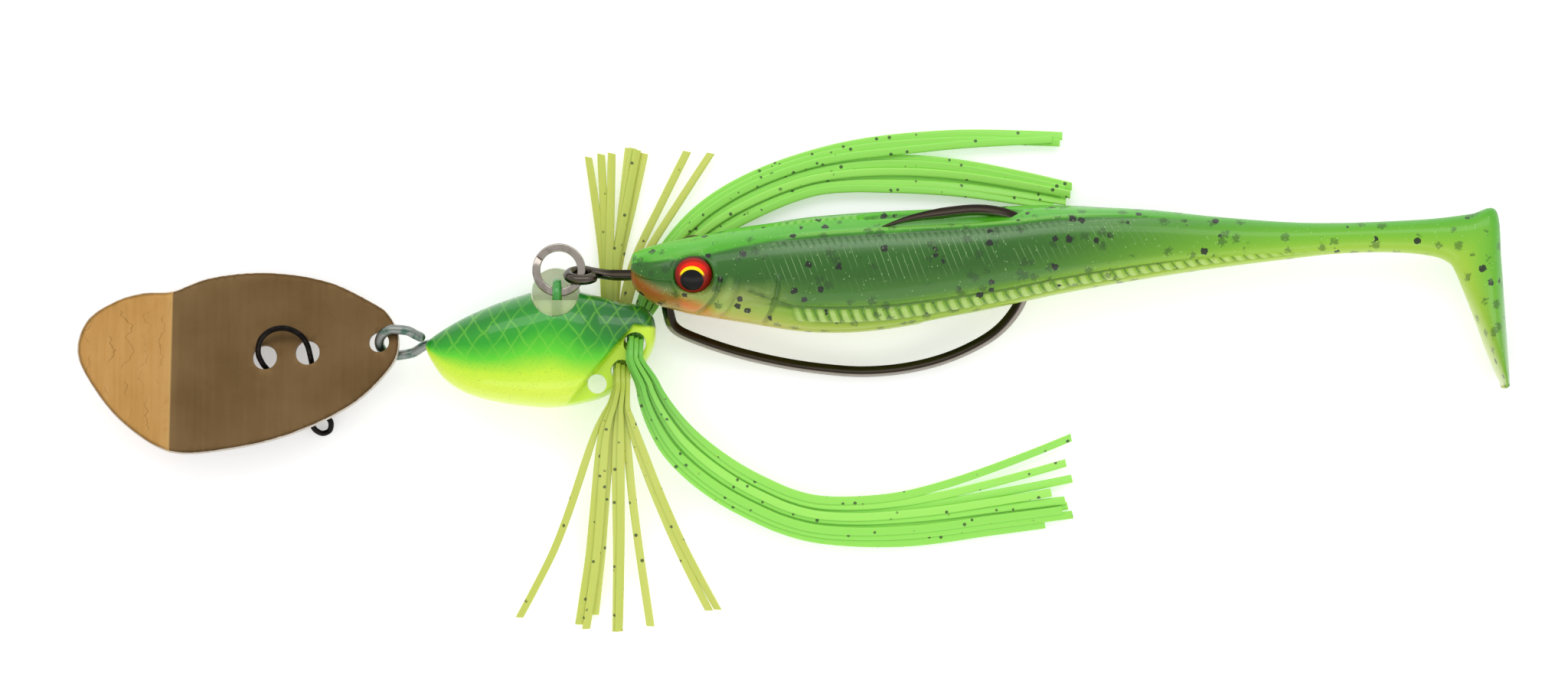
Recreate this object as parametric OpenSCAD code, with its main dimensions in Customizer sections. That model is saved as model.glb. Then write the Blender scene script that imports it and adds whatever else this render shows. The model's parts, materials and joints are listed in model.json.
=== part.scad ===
// Bladed jig with a swinging offset hook, a paddle-tail soft bait and two cross-threaded skirts.
// It lies on its side: +X runs from blade to tail, +Y is its back, +Z is the side that shows.

/* [Head] */
// Height of the head's middle plane above the surface it lies on
axis_z = 5.6; // [5.5:0.05:6]
// Thickness of the recessed plate that the skirts pass through
plate_t = 4.8; // [4.6:0.1:5.2]
// Radius of the hole for the green skirt
green_hole_r = 1.27; // [1.22:0.01:1.4]
// Radius of the hole for the chartreuse skirt
chartreuse_hole_r = 1.22; // [1.18:0.01:1.3]
// Radius of the spare skirt hole
spare_hole_r = 1.1; // [0.8:0.05:1.2]

/* [Blade] */
// Thickness of the blade's sheet
blade_t = 0.7; // [0.5:0.05:0.8]
// Angle of the bent front of the blade
blade_bend = 25; // [10:1:35]
// Radius of the two holes that carry the snap
snap_hole_r = 1.4; // [1.35:0.05:1.6]
// Radius of the hole that rides on the nose eye
eye_hole_r = 1.15; // [1.12:0.01:1.25]

/* [Wires] */
// Diameter of the nose eye's wire
nose_wire_d = 1.1; // [0.9:0.05:1.12]
// Diameter of the top eye's wire
top_wire_d = 1.05; // [0.9:0.05:1.1]
// Diameter of the snap's wire
snap_wire_d = 0.65; // [0.5:0.05:0.7]
// Diameter of the hook's wire
hook_wire_d = 1.2; // [1:0.05:1.3]

/* [Ring and bead] */
// Outside radius of the split ring
ring_r = 3.05; // [3:0.05:3.2]
// Radial width of the split ring's section
ring_w = 0.95; // [0.8:0.05:0.95]
// Height of the split ring's two coils together
ring_h = 1.1; // [0.9:0.05:1.1]
// Radius of the silicone bead
bead_r = 2.73; // [2.4:0.05:2.8]

/* [Bait] */
// Roll of the hook and bait about their length
roll = 21; // [15:1:24]
// Radius of the bait's eye
bait_eye_r = 2.15; // [1.8:0.05:2.3]
// Gap left round the bait's flexing tail joint
tail_gap = 0.3; // [0.2:0.05:0.5]

/* [Skirts] */
// Width of a skirt strand
strand_w = 0.5; // [0.4:0.02:0.52]
// Thickness of a skirt strand
strand_t = 0.3; // [0.2:0.02:0.32]
// Distance between neighbouring strands inside a hole
strand_pitch = 0.58; // [0.56:0.01:0.6]

/* [Hidden] */
$fn = 48;
fit = 0.05;
wire_sides = 10;
through = 14;
head_power = 0.78;
seat = [-27.2, 10.0];
top_eye_r = 1.45;
bead_at = [-27.4, 10.4];
bead_half = 2.3;
bead_back = [-2.75, -2.15];
ring_play = 0.125;
ring_at = [-27.0, seat[1] + top_eye_r - top_wire_d / 2 - ring_play + ring_r - ring_w];
ring_corner = 0.2;
coil_groove = 0.12;
ledge_gap = 0.4;
ledge_y = ring_at[1] - ring_r - ledge_gap;
hook_at = [-24.4, 12.3];
hook_eye_r = 1.5;
hook_taper = 5;
nose_at = [-45.5, 4.6];
nose_loop_r = 2;
nose_tilt = 38;
blade_pitch = -5;
blade_roll = -10;
green_hole = [-18.3, 4.5];
chartreuse_hole = [-19.8, 1.4];
spare_hole = [-22.6, -0.1];
tail_x = 56;
tail_r = 2.1;
tail_low = 14.1;
tail_high = 18.4;
roll_fade_x = 25;
strand_bend_r = 1.9;
grid_turn = atan(1 / 3);

// Head stations: x, lowest y, highest y, half thickness
head_stations = [
    [-42.2, 4.0, 4.6, 0.3], [-41.6, 2.6, 5.1, 1.1], [-40, 0.4, 6.2, 2.2], [-37.5, -1.2, 7.6, 3.4],
    [-34, -2.2, 9.1, 4.6], [-30, -2.75, 10.4, 5.25], [-27.2, -2.8, 11.1, 5.35], [-24.5, -2.4, 10.4, 4.95],
    [-22, -1.7, 9.8, 3.9], [-20, -0.6, 9.2, 3.5], [-18.3, 0.9, 9, 3.1], [-17, 2.4, 8.5, 2.7],
    [-16.2, 3.9, 7.5, 1.8], [-15.9, 5.2, 6.3, 0.5]
];
// Edge of the recess on each side of the head's rear
recess_edge = [[-18.4, 6.6], [-24.7, -0.8], [-24.5, -5], [-12, -5], [-12, 6]];
// Blade outline in its own plane, about the eye hole
blade_outline = [
    [-34, -1.7], [-33, 1.8], [-30.3, 4.1], [-27.3, 5.4], [-23.9, 5.9], [-19.5, 7.5], [-13.1, 8.1],
    [-6.2, 7.1], [-0.8, 4.6], [1.3, 2.9], [2.3, 0.1], [1.4, -2.9], [-2.9, -7.2], [-9.8, -10.6],
    [-17.1, -12.4], [-23.8, -12.7], [-29.1, -9.6], [-32.7, -5.1]
];
blade_bend_x = -23.9;
snap_holes = [[-13.1, -1.75], [-8.2, -1.2]];
snap_lean = 17;
snap_rise = 36.8;
snap_drop = 0.2;
// Half of the snap's wire, from the top of its big arc to the bottom of its tie loop
snap_half = [[0, 3.8], [1.6, 3.3], [2.65, 1.95], [2.85, 0.6], [2.6, -0.8], [1.7, -4.2], [0.85, -7.3],
    [0.95, -8.7], [1.05, -9.6], [0.6, -10.4]];
snap_end = [0, -10.6];
// Nose eye wire: x and distance up the tilted plane
nose_lower = [[-39.5, 0.2], [-41.2, -0.1], [-42.4, -0.5], [-43.8, -1.5]];
nose_upper = [[-44.3, 1.75], [-43.4, 1.2], [-42.75, 0.8]];
// Hook wire, from its eye: along the shank and across the gap
hook_route = [[1.4, 0], [4.5, 0], [7.6, -0.05], [8.9, -0.8], [9.6, -2.6], [10, -5], [10.7, -6.9],
    [12.4, -8.1], [17.1, -9.8], [22.3, -11], [27.4, -11.65], [32.5, -11.75], [37.7, -11], [42.2, -9.5],
    [46.3, -7.2], [48.8, -4.6], [50.3, -1.8], [51.1, 1.4], [51.1, 4.2], [50.2, 6.3], [48.3, 7.5],
    [45, 8], [40.6, 7.7], [35.9, 6.4]];
// Bait body: x, lowest y, highest y, half thickness
bait_stations = [
    [-18.9, 11.9, 14.4, 1.2], [-18, 10.1, 15.1, 2.3], [-15.5, 8.5, 15.9, 3.4], [-11.5, 7.8, 16.7, 4.2],
    [-6, 7, 17.7, 4.9], [2, 5.9, 18.7, 5.3], [10, 6.2, 19.3, 5.4], [20, 8.1, 19.7, 5.1],
    [30, 10.2, 20.1, 4.3], [40, 11.9, 19.8, 3.4], [48, 13.1, 19, 2.6], [tail_x, tail_low, tail_high, tail_r]
];
// Tail: upper or rear point, lower or front point, half width
tail_stations = [
    [[62, 18.3], [62, 14.75], 1.9], [[68, 18.5], [68, 14.9], 1.8], [[73, 18.8], [72.5, 14.5], 1.9],
    [[77, 19.3], [74.6, 13.7], 2], [[80, 19.7], [75.9, 12.5], 2.1], [[80.6, 14], [77, 10.6], 2.6],
    [[80.9, 9.5], [78.1, 7.3], 3.6], [[81.2, 5], [79.2, 3.8], 4.9], [[81.45, 1.5], [80.2, 1], 5.4],
    [[81.5, 0.2], [80.8, -0.1], 4.6]
];
// The bait's eye: x, rise and depth about the middle of the bait there
bait_eye_at = [-11.6, 1.45, 2.9];
bait_eye_y = 12.25;
eye_drum = 1;
eye_dome = 0.7;
// Skirt routes: x, y, z, spread across, spread in height
green_far = [[31, 24, 0.9, 5.2, 0.35], [20, 25, 1, 4.6, 0.4], [10, 25, 1.1, 3.9, 0.45],
    [2, 24, 1.15, 3, 0.5], [-5, 21.4, 1.2, 2.9, 0.5], [-10.5, 18, 0.95, 2.6, 0.58],
    [-14.8, 13.5, 0.85, 2, 0.6], [-16.6, 9.8, 1.1, 1.5, 0.65], [-17.6, 7.8, 1.3, 1.1, 0.7]];
green_near = [[-17, 0.2, 9.5, 1.4, 0.7], [-15.9, -2.6, 8.3, 2, 0.6], [-13.4, -6.6, 6, 2.7, 0.58],
    [-9.3, -10.3, 4.2, 2.9, 0.5], [-4, -13.4, 2.9, 2.9, 0.5], [2.5, -15.6, 2, 3, 0.5],
    [12.3, -15.6, 1.2, 3.6, 0.4], [22, -13.6, 1, 4.8, 0.4], [31.2, -11.2, 0.9, 6.6, 0.4]];
chartreuse_far = [[-16.8, 26.6, 1, 9.5, 0.35], [-18.4, 20, 1.1, 6, 0.4], [-19.8, 14, 1.2, 3, 0.5],
    [-20.5, 9.2, 1.1, 1.7, 0.58], [-20.75, 5.8, 1.1, 1.15, 0.58], [-20.45, 4.2, 1.2, 1, 0.62]];
chartreuse_near = [[-20.1, -2.5, 9.2, 1.4, 0.6], [-20.4, -5.7, 7.6, 3.2, 0.5],
    [-20.4, -12, 4.6, 6, 0.4], [-20.2, -20, 2.2, 10, 0.4], [-20.1, -27.9, 0.8, 15, 0.4]];
STRANDS = [for (column = [-1:1], row = [-1:1]) [column, row]];

function unit(v) = v / norm(v);
// A point on the smooth curve between b and c, where a and d are their neighbours
function between(a, b, c, d, t) =
    b + (c - a) * t / 2 + (2 * a - 5 * b + 4 * c - d) * t * t / 2
    + (3 * b - a - 3 * c + d) * t * t * t / 2;
function smooth(p, n) = let (e = len(p) - 1)
    [for (i = [0:e - 1], k = [0:n - 1])
        between(p[max(i - 1, 0)], p[i], p[i + 1], p[min(i + 2, e)], k / n), p[e]];
function smooth_loop(p, n) = let (c = len(p))
    [for (i = [0:c - 1], k = [0:n - 1])
        between(p[(i + c - 1) % c], p[i], p[(i + 1) % c], p[(i + 2) % c], k / n)];
function mirrored(half, end) =
    concat(half, [end], [for (i = [len(half) - 1:-1:1]) [-half[i][0], half[i][1]]]);
function heading(p, i, loop) = let (c = len(p))
    loop ? unit(p[(i + 1) % c] - p[(i + c - 1) % c]) : unit(p[min(i + 1, c - 1)] - p[max(i - 1, 0)]);
// Rings round a flat route whose plane has the given normal
function wire_rings(p, r, normal, loop = false, point = 0) =
    let (total = len(p))
    [for (i = [0:total - 1]) let (t = heading(p, i, loop), side = cross(t, normal),
        size = r * (point == 0 ? 1 : min(1, 0.08 + (total - 1 - i) / point)))
        [for (k = [0:wire_sides - 1]) let (a = 360 * k / wire_sides)
            p[i] + size * (cos(a) * normal + sin(a) * side)]];
// An oval ring between two points of the outline, turned by the roll
function oval(p, q, half, turn, sides, power = 1) =
    let (d = (p - q) / 2, flat = norm(d), c = (p + q) / 2,
        tall = sqrt(max(flat * flat - pow(half * sin(turn), 2), 0.01)) / cos(turn))
    [for (k = [0:sides - 1]) let (a = 360 * k / sides,
        u = tall * sign(cos(a)) * pow(abs(cos(a)), power), v = half * sign(sin(a)) * pow(abs(sin(a)), power),
        along = u * cos(turn) - v * sin(turn))
        [c[0] + d[0] / flat * along, c[1] + d[1] / flat * along, axis_z + u * sin(turn) + v * cos(turn)]];

// A closed skin over rings that all have the same number of points
module skin(rings, loop = false) {
    n = len(rings[0]);
    m = len(rings);
    walls = [for (i = [0:(loop ? m - 1 : m - 2)], k = [0:n - 1], half = [0, 1])
        let (next = (k + 1) % n, row = ((i + 1) % m) * n, a = i * n + k, b = i * n + next, c = row + k,
            d = row + next)
        half == 0 ? [a, d, b] : [a, c, d]];
    ends = loop ? [] : [[for (k = [0:n - 1]) k], [for (k = [n - 1:-1:0]) (m - 1) * n + k]];
    polyhedron(points = [for (r = rings, p = r) p], faces = concat(walls, ends));
}
module at_blade() {
    translate([nose_at[0] - nose_loop_r, nose_at[1], axis_z]) rotate([blade_roll, blade_pitch, 0]) children();
}
module at_hook() {
    translate([hook_at[0], hook_at[1], axis_z]) rotate([roll, 0, 0]) children();
}
module head_hole(at, r) {
    translate([at[0], at[1], axis_z]) cylinder(r = r, h = through, center = true);
}
module top_wire(r) {
    translate([seat[0], seat[1], axis_z]) rotate([0, 90, 0]) {
        rotate_extrude(angle = 180) translate([top_eye_r, 0]) circle(r = r);
        for (s = [-1, 1]) translate([s * top_eye_r, 0, 0]) rotate([90, 0, 0]) cylinder(r = r, h = 3.6);
    }
}

module head() {
    stations = smooth(head_stations, 2);
    color("limegreen") difference() {
        skin([for (s = stations) oval([s[0], s[2]], [s[0], s[1]], s[3], 0, 20, head_power)]);
        for (s = [0, 1]) translate([0, 0, axis_z]) mirror([0, 0, s]) translate([0, 0, plate_t / 2])
            linear_extrude(through) polygon(recess_edge);
        head_hole(green_hole, green_hole_r);
        head_hole(chartreuse_hole, chartreuse_hole_r);
        head_hole(spare_hole, spare_hole_r);
        head_hole(bead_at, bead_r + fit);
        top_wire(top_wire_d / 2 + fit);
    }
}
module nose_eye() {
    arc = [for (a = [-75:15:75]) [nose_at[0] - nose_loop_r * cos(a), nose_loop_r * sin(a)]];
    route = concat(smooth(concat(nose_lower, [arc[0]]), 2), [for (i = [1:len(arc) - 1]) arc[i]],
        smooth(nose_upper, 2));
    normal = [0, -sin(nose_tilt), cos(nose_tilt)];
    place = [for (p = route) [p[0], nose_at[1] + p[1] * cos(nose_tilt), axis_z + p[1] * sin(nose_tilt)]];
    color("silver") skin(wire_rings(place, nose_wire_d / 2, normal));
}
module top_eye() {
    color("forestgreen") top_wire(top_wire_d / 2);
}
module bead() {
    color("honeydew") difference() {
        translate([bead_at[0], bead_at[1], axis_z]) union() {
            translate([0, 0, bead_back[0]]) cylinder(r = bead_r, h = bead_back[1] - bead_back[0]);
            intersection() {
                translate([0, 0, bead_back[0]]) cylinder(r = bead_r, h = bead_half - bead_back[0]);
                translate([0, ledge_y - bead_at[1] - through / 2, 0]) cube(through, center = true);
            }
        }
        top_wire(top_wire_d / 2 + fit);
    }
}
module blade() {
    rise = tan(blade_bend);
    half = blade_t / 2;
    far = -40;
    color("darkgoldenrod") at_blade() difference() {
        intersection() {
            linear_extrude(30, center = true) polygon(smooth_loop(blade_outline, 3));
            rotate([90, 0, 0]) linear_extrude(60, center = true) polygon([[8, -half], [8, half],
                [blade_bend_x, half], [far, half + (blade_bend_x - far) * rise],
                [far, (blade_bend_x - far) * rise - half], [blade_bend_x, -half]]);
        }
        cylinder(r = eye_hole_r, h = 4, center = true);
        for (p = snap_holes) translate([p[0], p[1], 0]) cylinder(r = snap_hole_r, h = 4, center = true);
    }
}
module snap() {
    across = snap_holes[1] - snap_holes[0];
    middle = (snap_holes[0] + snap_holes[1]) / 2 - [0, snap_drop];
    route = [for (p = smooth_loop(mirrored(snap_half, snap_end), 2)) [p[0], p[1], 0]];
    color("dimgray") at_blade() translate([middle[0], middle[1], 0])
        rotate([0, 0, atan2(across[1], across[0])]) rotate([snap_rise, 0, 0]) rotate([0, 0, snap_lean])
            skin(wire_rings(route, snap_wire_d / 2, [0, 0, 1], true), true);
}
module split_ring() {
    in = ring_r - ring_w;
    h = ring_h / 2;
    c = ring_corner;
    g = coil_groove;
    color("gray") translate([ring_at[0], ring_at[1], axis_z]) rotate_extrude()
        polygon([[in, c - h], [in + c, -h], [ring_r - c, -h], [ring_r, c - h], [ring_r, -g / 2],
            [ring_r - g, 0], [ring_r, g / 2], [ring_r, h - c], [ring_r - c, h], [in + c, h], [in, h - c],
            [in, g / 2], [in + g, 0], [in, -g / 2]]);
}
module hook() {
    route = [for (p = smooth(hook_route, 2)) [p[0], p[1], 0]];
    color("dimgray") at_hook() {
        rotate([90, 0, 0]) rotate_extrude() translate([hook_eye_r, 0]) circle(r = (hook_wire_d - fit) / 2);
        skin(wire_rings(route, hook_wire_d / 2, [0, 0, 1], false, hook_taper));
    }
}
module shad_body() {
    color("yellowgreen") difference() {
        skin([for (s = smooth(bait_stations, 2))
            oval([s[0], s[2]], [s[0], s[1]], s[3], bait_roll(s[0]), 20)]);
        translate([tail_x, (tail_low + tail_high) / 2, axis_z]) rotate([90, 0, 0])
            cylinder(r = tail_r + tail_gap, h = through, center = true);
        for (s = [0, 1]) at_bait_eye(s) cylinder(r = bait_eye_r + fit, h = through);
    }
}
// The roll fades along the rear half of the bait
function bait_roll(x) = roll * (1 - min(1, max(0, (x - roll_fade_x) / (tail_x - 2 * tail_r - roll_fade_x))));
module at_bait_eye(s) {
    translate([bait_eye_at[0], bait_eye_y, axis_z]) rotate([roll, 0, 0]) mirror([0, 0, s])
        translate([0, bait_eye_at[1], bait_eye_at[2]]) children();
}
module bait_eye(s) {
    tall = eye_drum + eye_dome;
    ball = (bait_eye_r * bait_eye_r + eye_dome * eye_dome) / (2 * eye_dome);
    color("orangered") at_bait_eye(s) intersection() {
        cylinder(r = bait_eye_r, h = tall);
        translate([0, 0, tall - ball]) sphere(r = ball);
    }
}
module eye_left() {
    bait_eye(0);
}
module eye_right() {
    bait_eye(1);
}
module shad_tail() {
    nose = [for (a = [20, 40, 60, 80, 90]) let (x = tail_x - tail_r * cos(a))
        oval([x, tail_high], [x, tail_low], tail_r * sin(a), 0, 16)];
    blade_rings = [for (s = smooth(tail_stations, 2)) oval(s[0], s[1], s[2], 0, 16)];
    color("yellowgreen") skin(concat(nose, blade_rings));
}
// The whole route of a skirt: up the far side, through its hole and down the near side
function skirt_route(far, at, near) =
    let (r = strand_bend_r, low = axis_z - plate_t / 2, high = axis_z + plate_t / 2)
    concat(smooth(far, 2),
        [for (a = [0, 30, 60, 90]) [at[0], at[1] + r * (1 - sin(a)), low - r * cos(a), 1, 1]],
        [for (a = [0, 30, 60, 90]) [at[0], at[1] - r * (1 - cos(a)), high + r * sin(a), 1, 1]],
        smooth(near, 2));
module strand(route, cell) {
    u = strand_pitch * (cell[0] * cos(grid_turn) + cell[1] * sin(grid_turn));
    v = strand_pitch * (cell[1] * cos(grid_turn) - cell[0] * sin(grid_turn));
    spine = [for (p = route) [p[0], p[1], p[2]]];
    skin([for (i = [0:len(route) - 1]) let (t = heading(spine, i, false), flat = unit([t[0], t[1] - 0.05, 0]),
        across = [-flat[1], flat[0], 0], up = cross(t, across),
        c = spine[i] + u * route[i][3] * across + v * route[i][4] * up)
        [for (k = [[-1, -1], [1, -1], [1, 1], [-1, 1]])
            c + k[0] * strand_w / 2 * across + k[1] * strand_t / 2 * up]]);
}
green_route = skirt_route(green_far, green_hole, green_near);
chartreuse_route = skirt_route(chartreuse_far, chartreuse_hole, chartreuse_near);
module green_strand(i) {
    color("springgreen") strand(green_route, STRANDS[i]);
}
module chartreuse_strand(i) {
    color("greenyellow") strand(chartreuse_route, STRANDS[i]);
}
green_names = [for (i = [1:len(STRANDS)]) str("green_strand_", i)];
chartreuse_names = [for (i = [1:len(STRANDS)]) str("chartreuse_strand_", i)];

head();
nose_eye();
top_eye();
bead();
blade();
snap();
split_ring();
hook();
shad_body();
shad_tail();
eye_left();
eye_right();
for (i = [0:len(STRANDS) - 1]) {
    green_strand(i);
    chartreuse_strand(i);
}
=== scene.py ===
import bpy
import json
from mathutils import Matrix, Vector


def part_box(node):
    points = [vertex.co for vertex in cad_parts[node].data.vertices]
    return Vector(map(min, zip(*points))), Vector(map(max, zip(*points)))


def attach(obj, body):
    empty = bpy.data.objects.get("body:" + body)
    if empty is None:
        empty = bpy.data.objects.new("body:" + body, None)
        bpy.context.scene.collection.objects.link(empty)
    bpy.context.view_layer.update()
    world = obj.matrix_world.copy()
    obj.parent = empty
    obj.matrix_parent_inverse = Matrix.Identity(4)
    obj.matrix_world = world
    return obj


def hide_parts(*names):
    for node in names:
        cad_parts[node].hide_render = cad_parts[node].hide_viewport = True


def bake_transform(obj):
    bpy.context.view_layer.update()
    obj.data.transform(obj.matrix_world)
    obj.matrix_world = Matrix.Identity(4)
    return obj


bl_info = {
    "name": "Bladed Jig",
    "version": (1, 0, 0),
    "blender": (4, 5, 0),
    "location": "View3D > Sidebar > Bladed Jig",
    "description": "Builds a bladed jig with a soft paddle-tail bait and two threaded skirts",
    "category": "Object",
}

import json
import math

import bmesh
import bpy
import numpy as np
from bpy.props import FloatProperty, FloatVectorProperty, IntProperty, PointerProperty
from mathutils import Vector

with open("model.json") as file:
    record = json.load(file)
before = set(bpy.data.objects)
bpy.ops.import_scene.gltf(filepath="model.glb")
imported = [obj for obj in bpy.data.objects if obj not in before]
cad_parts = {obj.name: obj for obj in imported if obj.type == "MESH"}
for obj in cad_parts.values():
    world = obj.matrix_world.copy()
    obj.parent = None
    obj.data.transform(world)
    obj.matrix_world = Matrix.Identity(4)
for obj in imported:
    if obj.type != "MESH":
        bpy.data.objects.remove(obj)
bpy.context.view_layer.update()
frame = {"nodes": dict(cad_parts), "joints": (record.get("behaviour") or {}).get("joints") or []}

MM = 0.001


def middle(node):
    """The centre of a CAD node's box, in millimetres."""
    low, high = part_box(node)
    return (np.array(low) + np.array(high)) / 2 / MM


def pivot(joint):
    """A joint's point, in millimetres."""
    return next(np.array(j["pos_m"]) / MM for j in frame["joints"] if j["name"] == joint)


AXIS_Z = middle("split_ring")[2]
RING = middle("split_ring")
RING_R = (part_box("split_ring")[1].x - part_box("split_ring")[0].x) / 2 / MM
NOSE_LOOP = pivot("blade_swing")
HOOK_EYE = pivot("hook_swing")
TAIL = pivot("tail_wag")
BEAD = middle("bead")


# ---------------------------------------------------------------- shapes

def curve_points(points, per, loop=False):
    """Catmull-Rom: each stretch is a cubic through its two points, aimed along their neighbours."""
    p = np.asarray(points, float)
    n = len(p)
    i = np.arange(n if loop else n - 1)
    around = [i - 1, i, i + 1, i + 2]
    around = [k % n for k in around] if loop else [np.clip(k, 0, n - 1) for k in around]
    a, b, c, d = (p[k][:, None, :] for k in around)
    t = (np.arange(per) / per)[None, :, None]
    out = b + (c - a) * t / 2 + (2 * a - 5 * b + 4 * c - d) * t**2 / 2 + (3 * b - a - 3 * c + d) * t**3 / 2
    out = out.reshape(-1, p.shape[1])
    return out if loop else np.vstack([out, p[-1]])


def travelled(points):
    """The length of a line from its start to each of its points."""
    return np.concatenate([[0], np.cumsum(np.linalg.norm(np.diff(points, axis=0), axis=1))])


def resampled(rows, s, want):
    """The values that rows of numbers, known at the lengths s, have at the wanted lengths."""
    return np.stack([np.interp(want, s, column) for column in rows.T], axis=1)


def evenly(points, count):
    """The same line with count points, at equal steps of length."""
    s = travelled(points[:, :3])
    return resampled(points, s, np.linspace(0, s[-1], count))


def unit(v):
    return v / np.maximum(np.linalg.norm(v, axis=-1, keepdims=True), 1e-12)


def step(low, high, x):
    """0 below low, 1 above high, and an S curve between them."""
    t = np.clip((x - low) / (high - low), 0, 1)
    return t * t * (3 - 2 * t)


def band(x, a, b, c, d):
    """0 below a, 1 from b to c and 0 above d."""
    return step(a, b, x) * step(d, c, x)


def hump(x, centre, width):
    """A bell curve of height 1."""
    return np.exp(-(((x - centre) / width) ** 2))


def circle(count, shift=0.0):
    """Angles at equal steps round a circle."""
    return 2 * math.pi * (np.arange(count) + shift) / count


def blunt(values, power):
    """Raises the size of each value to a power and keeps its sign."""
    return np.sign(values) * np.abs(values) ** power


def turned(points, degrees, axis):
    """Points turned about an axis through the origin, by Rodrigues' formula."""
    k = unit(np.asarray(axis, float))
    a = math.radians(degrees)
    p = np.asarray(points, float)
    return p * math.cos(a) + np.cross(k, p) * math.sin(a) + (p @ k)[..., None] * k * (1 - math.cos(a))


def directions(path, loop=False):
    if loop:
        return unit(np.roll(path, -1, axis=0) - np.roll(path, 1, axis=0))
    return unit(np.gradient(path, axis=0))


def tube(path, radius, sides, normal, loop=False):
    """Rings round a path: each is radius * (cos a * up + sin a * side), square to the path."""
    t = directions(path, loop)
    side = unit(np.cross(t, normal))
    up = np.cross(side, t)
    a = circle(sides)
    r = np.broadcast_to(np.asarray(radius, float), (len(path),))[:, None, None]
    ring = np.cos(a)[None, :, None] * up[:, None] - np.sin(a)[None, :, None] * side[:, None]
    return path[:, None] + r * ring[:, ::-1]


def swept(path, across, height, side, up):
    """A section, given by its distances across and up, carried along a path."""
    return path[:, None] + across[..., None] * side[:, None] + height[..., None] * up[:, None]


def rounded(path, radius):
    """Adds points at both ends of a path, with radii that close it in a half ball."""
    t = directions(path)
    a = np.linspace(0.08, 1, 4) * math.pi / 2
    r = np.broadcast_to(np.asarray(radius, float), (len(path),))
    head = path[0] - t[0] * (r[0] * np.cos(a))[:, None]
    tail = path[-1] + t[-1] * (r[-1] * np.cos(a[::-1]))[:, None]
    radii = np.concatenate([r[0] * np.sin(a), r[1:-1], r[-1] * np.sin(a[::-1])])
    return np.vstack([head, path[1:-1], tail]), radii


def store(mesh, key, values):
    """Keeps one number per vertex as an attribute."""
    attribute = mesh.attributes.new(key, "FLOAT", "POINT")
    attribute.data.foreach_set("value", np.asarray(values, np.float32))


def lattice(name, rings, loop=False, **values):
    """A closed skin over an (m, n, 3) grid in millimetres, with a fan at each end unless it is a loop.
    Each value is kept as a point attribute over the grid; the UV map is (row, column), each 0 to 1."""
    m, n = rings.shape[:2]
    i, j = np.meshgrid(np.arange(m if loop else m - 1), np.arange(n), indexing="ij")
    corner = [(i, j), (i, j + 1), (i + 1, j + 1), (i + 1, j)]
    faces = np.stack([(a % m) * n + b % n for a, b in corner], axis=-1).reshape(-1, 4)
    uv = np.stack([np.stack([a / m, b / n], axis=-1) for a, b in corner], axis=2).reshape(-1, 2)
    points = rings.reshape(-1, 3)
    faces = faces.tolist()
    if not loop:
        points = np.vstack([points, rings[0].mean(0), rings[-1].mean(0)])
        k = np.arange(n)
        first = np.stack([np.full(n, m * n), (k + 1) % n, k], axis=1)
        last = np.stack([np.full(n, m * n + 1), (m - 1) * n + k, (m - 1) * n + (k + 1) % n], axis=1)
        faces += first.tolist() + last.tolist()
        uv = np.vstack([uv, np.zeros((3 * n, 2)), np.ones((3 * n, 2))])
    mesh = bpy.data.meshes.new(name)
    mesh.from_pydata((points * MM).tolist(), [], faces)
    layer = mesh.uv_layers.new(name="UVMap")
    layer.data.foreach_set("uv", uv.astype(np.float32).ravel())
    for key, value in values.items():
        flat = np.broadcast_to(np.asarray(value, np.float32), (m, n))
        ends = [] if loop else [flat[0].mean(), flat[-1].mean()]
        store(mesh, key, np.concatenate([flat.ravel(), ends]))
    return mesh


def linked(name, data):
    """A new object in the scene."""
    obj = bpy.data.objects.new(name, data)
    bpy.context.scene.collection.objects.link(obj)
    return obj


def piece(name, mesh, body, finish, replaces, sharp=None):
    """Links a mesh as a piece that rides on a body, wears a finish and stands for CAD nodes. Its shading is
    smooth, apart from edges that turn by more than the sharp angle."""
    obj = linked(name, mesh)
    mesh.materials.clear()
    mesh.materials.append(finish)
    mesh.polygons.foreach_set("use_smooth", [True] * len(mesh.polygons))
    if sharp:
        mesh.set_sharp_from_angle(angle=math.radians(sharp))
    if body:
        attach(obj, body)
    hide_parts(*replaces)
    return obj


def settled(obj):
    """Applies an object's modifiers to its mesh."""
    view = bpy.context.evaluated_depsgraph_get()
    mesh = bpy.data.meshes.new_from_object(obj.evaluated_get(view))
    obj.modifiers.clear()
    obj.data = mesh
    return obj


def bevelled(obj, width, degrees):
    """Rounds the edges that turn by more than an angle, and applies the object's modifiers."""
    bevel = obj.modifiers.new("rounded edge", "BEVEL")
    bevel.width = width
    bevel.segments = 3
    bevel.limit_method = "ANGLE"
    bevel.angle_limit = math.radians(degrees)
    return settled(obj)


# ---------------------------------------------------------------- finishes

def srgb(code):
    """A colour code as linear light; a setting's or a node's colour stays as it is."""
    if not isinstance(code, str):
        return code
    v = np.array([int(code[i:i + 2], 16) for i in (1, 3, 5)]) / 255
    return (*np.where(v <= 0.04045, v / 12.92, ((v + 0.055) / 1.055) ** 2.4).tolist(), 1.0)


def maths(operation):
    """A method that passes a value, and any others, through one Math node."""
    def method(self, *others):
        inputs = dict(enumerate([self, *others]))
        return self.finish.add("ShaderNodeMath", {"operation": operation}, inputs)
    return method


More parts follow.
